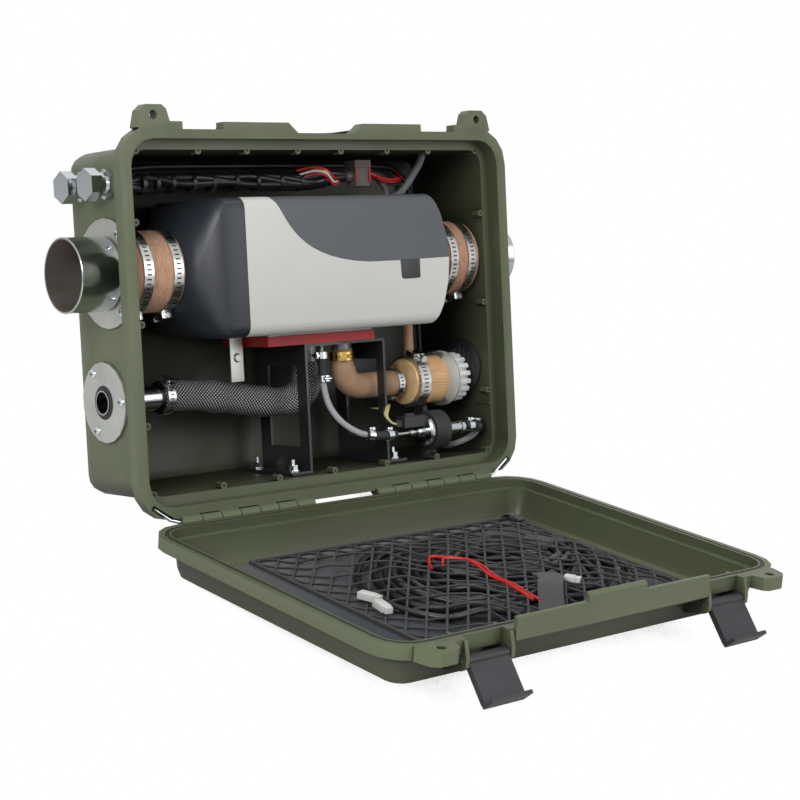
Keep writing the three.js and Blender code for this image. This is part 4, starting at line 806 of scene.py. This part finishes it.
class FuelOperator(bpy.types.Operator):
    """Make the fuel pump, its rubber ring and plug, the fuel tubes and their clamps"""
    bl_idname = "heater_case.make_fuel"
    bl_label = "Fuel Pump and Tubes"

    def execute(self, context):
        def draw_pump(shape):
            spin(shape, [
                (88, AXIS), (88, 3), (89, 3.4), (91, 3), (93, 3.4), (95, 3), (108, 3), (108.6, 5.2),
                (113, 5.2), (113.6, 3.4), (118, 3.4), (119, 6), (126, 6.4), (127.8, 7), (128, 16.4),
                (129.4, 18), (133, 18), (134, 17), (134, 13), (158, 13), (159.4, 11.8), (159.6, 6.6),
                (166, 6.6), (166.4, 6), (182, 6), (182.6, 7.2), (187, 7.2), (187.6, 5), (190, 3), (194, 3),
                (194, AXIS)], (0, *PUMP), 48)
        place("fuel_pump_turned", draw_pump, "steel", instead_of=("fuel_pump",))

        def draw_mount(shape):
            spin(shape, [(134.4, 13.3), (134.4, 20.4), (135.4, 21.4), (154, 21.4), (155, 20.4), (155, 13.3)],
                 (0, *PUMP), 56)
            block(shape, 139, 154, 28.2, 37, 11.3, 30, 1)
        place("pump_ring_rubber", draw_mount, "rubber", instead_of=("pump_rubber_mount",))
        dress("pump_plug", "black")
        for i, (color, side) in enumerate((("yellow", -3), ("yellow", 0), ("black", 3))):
            wire(f"pump_lead_{i}", [
                (92, 22 + side, 53), (84, 21 + side, 55 + i), (78, 22 + side, 62 + 2 * i),
                (84, 27 + side, 70 + i), (96, 40 + side, 73), (108, 60, 68 - i), (112, 92 + side, 66)],
                1.25, color, 8)
        wire("delivery_tube", [
            (14, 46, 130.6), (14, 46, 114), (14.6, 45.4, 99), (18, 42, 79), (28, 35, 61), (44, 27.5, 48.5),
            (62, 23.4, 43.2), (76, 22, 42), (87.7, 22, 42)],
            3.3, "tube", 16, 2, None, ("fuel_line_to_heater",))
        supply = smooth_route([
            (194.3, 22, 42), (206, 22.6, 42), (215, 27, 38), (217, 34, 31), (212, 42, 25), (200, 50, 20),
            (196, 66, 17.5), (202, 88, 19), (210, 104, 28), (213, 114, 50), (213, 118, 90), (213, 119, 180),
            (212, 119, 270), (206, 119, 312), (188, 118, 331), (160, 117, 337), (60, 117, 338),
            (-60, 117, 338), (-150, 115, 337), (-184, 111, 331), (-198, 102, 321), (-206, 97, 316.5),
            (-213.5, 97, 316.5)], 3)

        def draw_supply(shape):
            tube(shape, supply, 3.3, 14)
            for face in shape.faces:
                face.material_index = int(face.calc_center_median().z > 60 * MM)
        place("supply_tube", draw_supply, "tube,cable", angle=60,
              instead_of=("fuel_line_from_tank",))
        for name, points in (
                ("delivery_sleeve", [(14, 46, 136), (14, 46, 124), (14.2, 45.8, 104)]),
                ("pump_tip_sleeve", [(53, 24.8, 45.4), (62, 23.4, 43.2), (76, 22, 42), (91, 22, 42)]),
                ("pump_stub_sleeve", [(193, 22, 42), (204, 22.3, 42), (215.6, 27.6, 37.4)])):
            wire(name, points, 5.0, "rubber", 20)

        def draw_clamps(shape):
            for where, radius, direction in (
                    ((14, 46, 133), 5.4, (0, 0, 1)), ((14.3, 45.7, 107.5), 5.4, (0, 0.1, 1)),
                    ((58, 24, 44), 5.2, (1, -0.15, -0.2)), ((82, 22, 42), 5.2, (1, 0, 0)),
                    ((199, 22, 42), 5.2, (1, 0, 0)), ((212, 24.6, 39.8), 5.2, (1, 0.4, -0.3))):
                ear_clamp(shape, where, radius, 7, direction)
        place("fuel_clamps", draw_clamps, "chrome")
        return {"FINISHED"}


class WiringOperator(bpy.types.Operator):
    """Make the wiring along the top of the case and its fuse holder"""
    bl_idname = "heater_case.make_wiring"
    bl_label = "Wiring"

    def execute(self, context):
        dress("fuse_holder", "fuse")
        spine = smooth_route([
            (-213.4, 51, 316.5), (-205, 51, 316.5), (-186, 60, 317), (-160, 72, 318.5), (-120, 80, 319),
            (-40, 82, 320), (24, 80, 319), (46, 67, 322), (58, 64, 323), (70, 64, 323)], 3)
        rough = random.Random(11)
        cables = [rough.uniform(0, 6.28) for _ in range(7)]

        def draw_loom(shape):
            for number, phase in enumerate(cables):
                route = []
                for i, point in enumerate(spine):
                    spread = 6.3 * min(1, 0.3 + i / 12, 0.3 + (len(spine) - 1 - i) / 12)
                    if number == 0:
                        spread = 0
                    a = phase + number * 0.9 + i * 0.035 + 0.35 * math.sin(i / 7 + phase)
                    route.append(point + Vector((0, spread * math.cos(a), spread * math.sin(a))))
                tube(shape, route, 3.9, 12)
            for i in range(8, len(spine) - 8, 9):
                tube(shape, [spine[i] - Vector((2, 0, 0)), spine[i], spine[i] + Vector((2, 0, 0))], 10.6, 20)
        place("loom_cables", draw_loom, "cable", angle=50, instead_of=("wiring_loom",))
        for i, (color, lift) in enumerate((("red", 0), ("white", 4), ("red", 7), ("yellow", 2))):
            wire(f"loom_wire_{i}", [
                (14 + 4 * i, 74, 330 - lift), (28 + 3 * i, 64, 333 - lift), (42, 58, 330 - lift),
                (52, 57 + i, 321 - lift), (62, 60, 326 - lift), (72, 62, 322 + lift / 2), (82, 64, 322)],
                 1.35, color, 8)
        for i, color in enumerate(("red", "red", "black")):
            wire(f"fuse_wire_{i}", [
                (99, 60 + 2 * i, 328 - i), (112, 58 + 2 * i, 322 - i), (128, 60 + 2 * i, 319 - 2 * i),
                (146, 64 + 2 * i, 320 - 3 * i), (158, 74, 322 - i), (168, 92, 330)], 1.5, color, 8)

        def ribbed(s):
            return 3.6 + 0.5 * math.sin(s * 2.4)
        wire("corrugated_tube", [
            (184, 66, 345), (176, 62, 336), (165, 60, 324), (154, 62, 310), (148, 70, 302), (144, 84, 300)],
            3.6, "grey", 20, 0.4, ribbed)

        def draw_fuse(shape):
            for x0, x1 in ((79.4, 80.8), (98.2, 99.6)):
                block(shape, x0, x1, 54.2, 55.2, 316, 333, 0.2)
        place("fuse_marks", draw_fuse, "red")
        return {"FINISHED"}


MAT_TOP = -37.7


def coil_route(loops, centre, half_length, half_width, pitch, rise, steps=40):
    """The wound lead: loops run inward in one layer and outward again in the next."""
    total = loops * steps
    route = []
    for i in range(2 * total + 1):
        inward = i if i <= total else 2 * total - i
        shrink = pitch * inward / steps
        climb = min(1, max(0, (i - total + steps / 4) / (steps / 2)))
        a = 2 * math.pi * i / steps
        route.append(Vector((centre[0] + (half_length - shrink) * math.cos(a), MAT_TOP + 4.8 + rise * climb,
                             centre[1] + (half_width - shrink) * math.sin(a))))
    return route


def net_height(x, z):
    """How far the net stands off the mat over the cables."""
    far = max(abs(x - 40) / 168, abs(z - 190) / 148)
    edge = min(1, max(0, (1.0 - far) / 0.42))
    edge = edge * edge * (3 - 2 * edge)
    ripple = 1.6 * math.sin(x / 13 + z / 21) + 1.2 * math.sin(x / 29 - z / 11)
    return 1.6 + edge * (19.0 + ripple)


class LidContentsOperator(bpy.types.Operator):
    """Make the mat, the cables and the cargo net that the lid carries"""
    bl_idname = "heater_case.make_lid_contents"
    bl_label = "Lid Mat, Cables and Net"

    def execute(self, context):
        detail = context.scene.heater_detail

        def draw_mat(shape):
            outline = [(-205, 38), (-193, 26), (193, 26), (205, 38), (205, 330), (-205, 330)]
            rings = []
            for y, inset in ((-41.7, 1), (-41.2, 0), (-38.6, 0), (-37.7, 1.4)):
                rings.append([at(x - math.copysign(inset, x), y, z + (inset if z < 180 else -inset))
                              for x, z in outline])
            ring_skin(shape, rings)
        place("lid_mat_foam", draw_mat, "mat", "lid", instead_of=("lid_mat",))

        def draw_coil(shape):
            tube(shape, coil_route(3, (62, 165), 88, 56, 10.2, 10.2), 4.5, 14)
            rough = random.Random(7)
            for number in range(7):
                half_length, half_width = 148 - 13 * number, 118 - 11 * number
                route = []
                phases = [rough.uniform(0, 6.28) for _ in range(2)]
                for i in range(120):
                    a = 2 * math.pi * i / 120
                    wave = 4 * math.sin(2 * a + phases[0]) + 3 * math.sin(5 * a + phases[1])
                    x = 36 + (half_length + wave) * math.cos(a)
                    z = 186 + (half_width + wave) * math.sin(a)
                    room = max(4.6, net_height(x, z) - 6.5)
                    layer = 0.5 + 0.5 * math.sin(3 * a + phases[1])
                    route.append(Vector((x, MAT_TOP + 4.6 + (room - 4.6) * layer, z)))
                tube(shape, route + route[:1], 4.3 if number % 2 else 3.5, 12)
        place("control_cables", draw_coil, "cable", "lid", 60,
              ("control_lead_coil",))

        def draw_net(shape):
            left, right, low, high = -150, 196, 30, 328
            pitch = detail.net_pitch / MM
            radius = detail.net_strand / MM / 2
            for lean in (-1, 1):
                slope = lean * 1.15
                start = left - (high - low)
                while start < right + (high - low):
                    route = []
                    steps = 64
                    for i in range(steps + 1):
                        z = low + (high - low) * i / steps
                        x = start + (z - low if lean > 0 else high - z) / abs(slope)
                        if left <= x <= right:
                            lift = 0.5 * radius * math.sin(math.pi * i / 3 + (0 if lean > 0 else math.pi))
                            route.append(Vector((x, MAT_TOP + net_height(x, z) + lift, z)))
                    if len(route) > 2:
                        tube(shape, route, radius, 6)
                    start += pitch
            edge = [(left, low), (right, low), (right, high), (left, high), (left, low)]
            for (x0, z0), (x1, z1) in zip(edge, edge[1:]):
                route = []
                for i in range(41):
                    x, z = x0 + (x1 - x0) * i / 40, z0 + (z1 - z0) * i / 40
                    route.append(Vector((x, MAT_TOP + net_height(x, z) + 0.6, z)))
                tube(shape, route, 2.3, 10)
        place("cargo_net_cords", draw_net, "net", "lid", 60, ("cargo_net",))

        def top(x, z, lift=1.6):
            return x, MAT_TOP + net_height(x, z) + lift, z
        wire("lid_red_wire", [
            top(-42, 175), top(-32, 160), top(-16, 143), top(-8, 154), top(0, 166), top(3, 182),
            top(-3, 216), top(-8, 248), top(-14, 287)], 1.6, "red", 10, body="lid")
        wire("lid_red_wire_second", [
            top(-30, 178), top(-20, 166), top(-10, 158), top(2, 172), top(6, 190), top(2, 220),
            top(-4, 250), top(-9, 290)], 1.3, "red", 10, body="lid")

        def draw_strap(shape):
            route = smooth_route([top(44, 240, 2), top(36, 258, 3.5), top(14, 280, 4), top(-16, 316, 2)], 4)
            tube(shape, route, 1, 16, flat=(13, 1.1))
            route = smooth_route([top(192, 28, 3), (190, -27, 40), (192, -30, 56)], 4)
            tube(shape, route, 1, 12, flat=(6, 1.0))
        place("lid_strap", draw_strap, "web", "lid")

        def draw_plugs(shape):
            for x, z, turn, long in ((-125, 182, 20, 18), (-131, 210, -12, 20), (56, 264, 35, 11)):
                y = MAT_TOP + (net_height(x, z) if x > 0 else 6) + 3
                matrix = Matrix.Translation(at(x, y, z)) @ Matrix.Rotation(math.radians(turn), 4, "Y")

                def draw(part, long=long):
                    block(part, -5, 5, -3.5, 3.5, -long / 2, long / 2, 1)
                    block(part, -4, 4, -3, 3, long / 2, long / 2 + 5, 0.6)
                moved(shape, draw, matrix)
        place("lid_connectors", draw_plugs, "white", "lid")
        return {"FINISHED"}


class StageOperator(bpy.types.Operator):
    """Make the floor, the lights and the camera of the photograph"""
    bl_idname = "heater_case.set_stage"
    bl_label = "Stage"

    def execute(self, context):
        make_camera()
        make_stage()
        return {"FINISHED"}


def make_camera():
    """The camera's place was solved from the case's mouth, so it is given in the case's frame."""
    yaw, pitch, roll = math.radians(39.6), math.radians(4.3), math.radians(-2.7)
    forward = Vector((math.sin(yaw) * math.cos(pitch), math.cos(yaw) * math.cos(pitch), -math.sin(pitch)))
    level = Vector((math.cos(yaw), -math.sin(yaw), 0))
    up = level.cross(forward)
    right = math.cos(roll) * level + math.sin(roll) * up
    top = -math.sin(roll) * level + math.cos(roll) * up
    turn = Matrix((right, top, -forward)).transposed().to_4x4()
    lens = bpy.data.cameras.new("photo camera")
    lens.sensor_width = 36
    lens.lens = 36 * 1856.8 / 800
    lens.clip_start = 0.05
    camera = bpy.data.objects.new("photo camera", lens)
    camera.matrix_world = CASE @ Matrix.Translation(at(-1181.6, -1526.4, 229.7)) @ turn
    bpy.context.scene.collection.objects.link(camera)
    bpy.context.scene.camera = camera


def make_stage():
    floor = bpy.data.meshes.new("floor")
    half, low = 30, -0.0005
    corners = [(-half, -half, low), (half, -half, low), (half, half, low), (-half, half, low)]
    floor.from_pydata(corners, [], [(0, 1, 2, 3)])
    ground = bpy.data.objects.new("floor", floor)
    bpy.context.scene.collection.objects.link(ground)
    pale = Finish("pale floor", (0.9, 0.9, 0.9), 0.9)
    # For camera rays the floor glows evenly white, with a painted shadow: the glow turns near black where the case
    # closes over the floor, as in the gap between the hinges.
    glow, mix = pale.node("ShaderNodeEmission"), pale.node("ShaderNodeMixShader")
    painted_shadow_ao = pale.node("ShaderNodeAmbientOcclusion", Distance=0.12)
    shade = pale.ramp(painted_shadow_ao.outputs["AO"], [(0.01, (0.02, 0.018, 0.014)), (0.07, (1, 1, 1))])
    pale.link(shade, glow.inputs["Color"])
    pale.link(pale.node("ShaderNodeLightPath").outputs["Is Camera Ray"], mix.inputs[0])
    pale.link(pale.shader.outputs[0], mix.inputs[1])
    pale.link(glow.outputs[0], mix.inputs[2])
    pale.link(mix.outputs[0], pale.tree.nodes["Material Output"].inputs["Surface"])
    floor.materials.append(pale.material)
    world = bpy.data.worlds.new("studio")
    world.use_nodes = True
    bpy.context.scene.world = world
    tree = world.node_tree
    background = tree.nodes["Background"]
    background.inputs["Color"].default_value = (1, 1, 1, 1)
    path = tree.nodes.new("ShaderNodeLightPath").outputs
    seen = calculate(tree, "MAXIMUM", path["Is Camera Ray"], path["Is Transmission Ray"])
    glossy = calculate(tree, "MULTIPLY", path["Is Glossy Ray"], 0.8)
    strength = tree.nodes.new("ShaderNodeMapRange")
    strength.inputs["To Min"].default_value = 0.27
    strength.inputs["To Max"].default_value = 1.0
    tree.links.new(calculate(tree, "MAXIMUM", glossy, seen), strength.inputs["Value"])
    tree.links.new(strength.outputs[0], background.inputs["Strength"])
    lamps = [
        ("key", (-2.0, -1.0, 1.5), 1.2, 36),
        ("fill", (0.9, -2.0, 1.2), 1.5, 13),
        ("top", (0, 0.5, 2.4), 1.4, 16),
    ]
    for name, where, size, power in lamps:
        lamp = bpy.data.lights.new(name, "AREA")
        lamp.size = size
        lamp.energy = power
        light = bpy.data.objects.new(name, lamp)
        light.location = where
        aim = Vector((0, 0, 0.18)) - Vector(where)
        light.rotation_euler = aim.to_track_quat("-Z", "Y").to_euler()
        bpy.context.scene.collection.objects.link(light)
    bpy.context.scene.view_settings.view_transform = "Standard"


class HeaterCasePanel(bpy.types.Panel):
    bl_idname = "VIEW3D_PT_heater_case"
    bl_label = "Heater Case"
    bl_space_type = "VIEW_3D"
    bl_region_type = "UI"
    bl_category = "Heater Case"

    def draw(self, context):
        layout = self.layout
        for group in (context.scene.heater_colors, context.scene.heater_detail):
            for name in group.__annotations__:
                layout.prop(group, name)
        for operator in OPERATORS:
            layout.operator(operator.bl_idname)


OPERATORS = (
    MaterialsOperator, ShellOperator, FittingsOperator, HeaterOperator, DuctsOperator, PlateScrewsOperator,
    ExhaustOperator, IntakeOperator, FuelOperator, WiringOperator, LidContentsOperator, StageOperator,
)
CLASSES = (HeaterColors, HeaterDetail, *OPERATORS, HeaterCasePanel)


def register():
    for cls in CLASSES:
        bpy.utils.register_class(cls)
    bpy.types.Scene.heater_colors = PointerProperty(type=HeaterColors)
    bpy.types.Scene.heater_detail = PointerProperty(type=HeaterDetail)


def unregister():
    del bpy.types.Scene.heater_detail
    del bpy.types.Scene.heater_colors
    for cls in reversed(CLASSES):
        bpy.utils.unregister_class(cls)


def main():
    register()
    for operator in OPERATORS:
        name = operator.bl_idname.split(".")[1]
        getattr(bpy.ops.heater_case, name)()


if __name__ == "__main__":
    main()
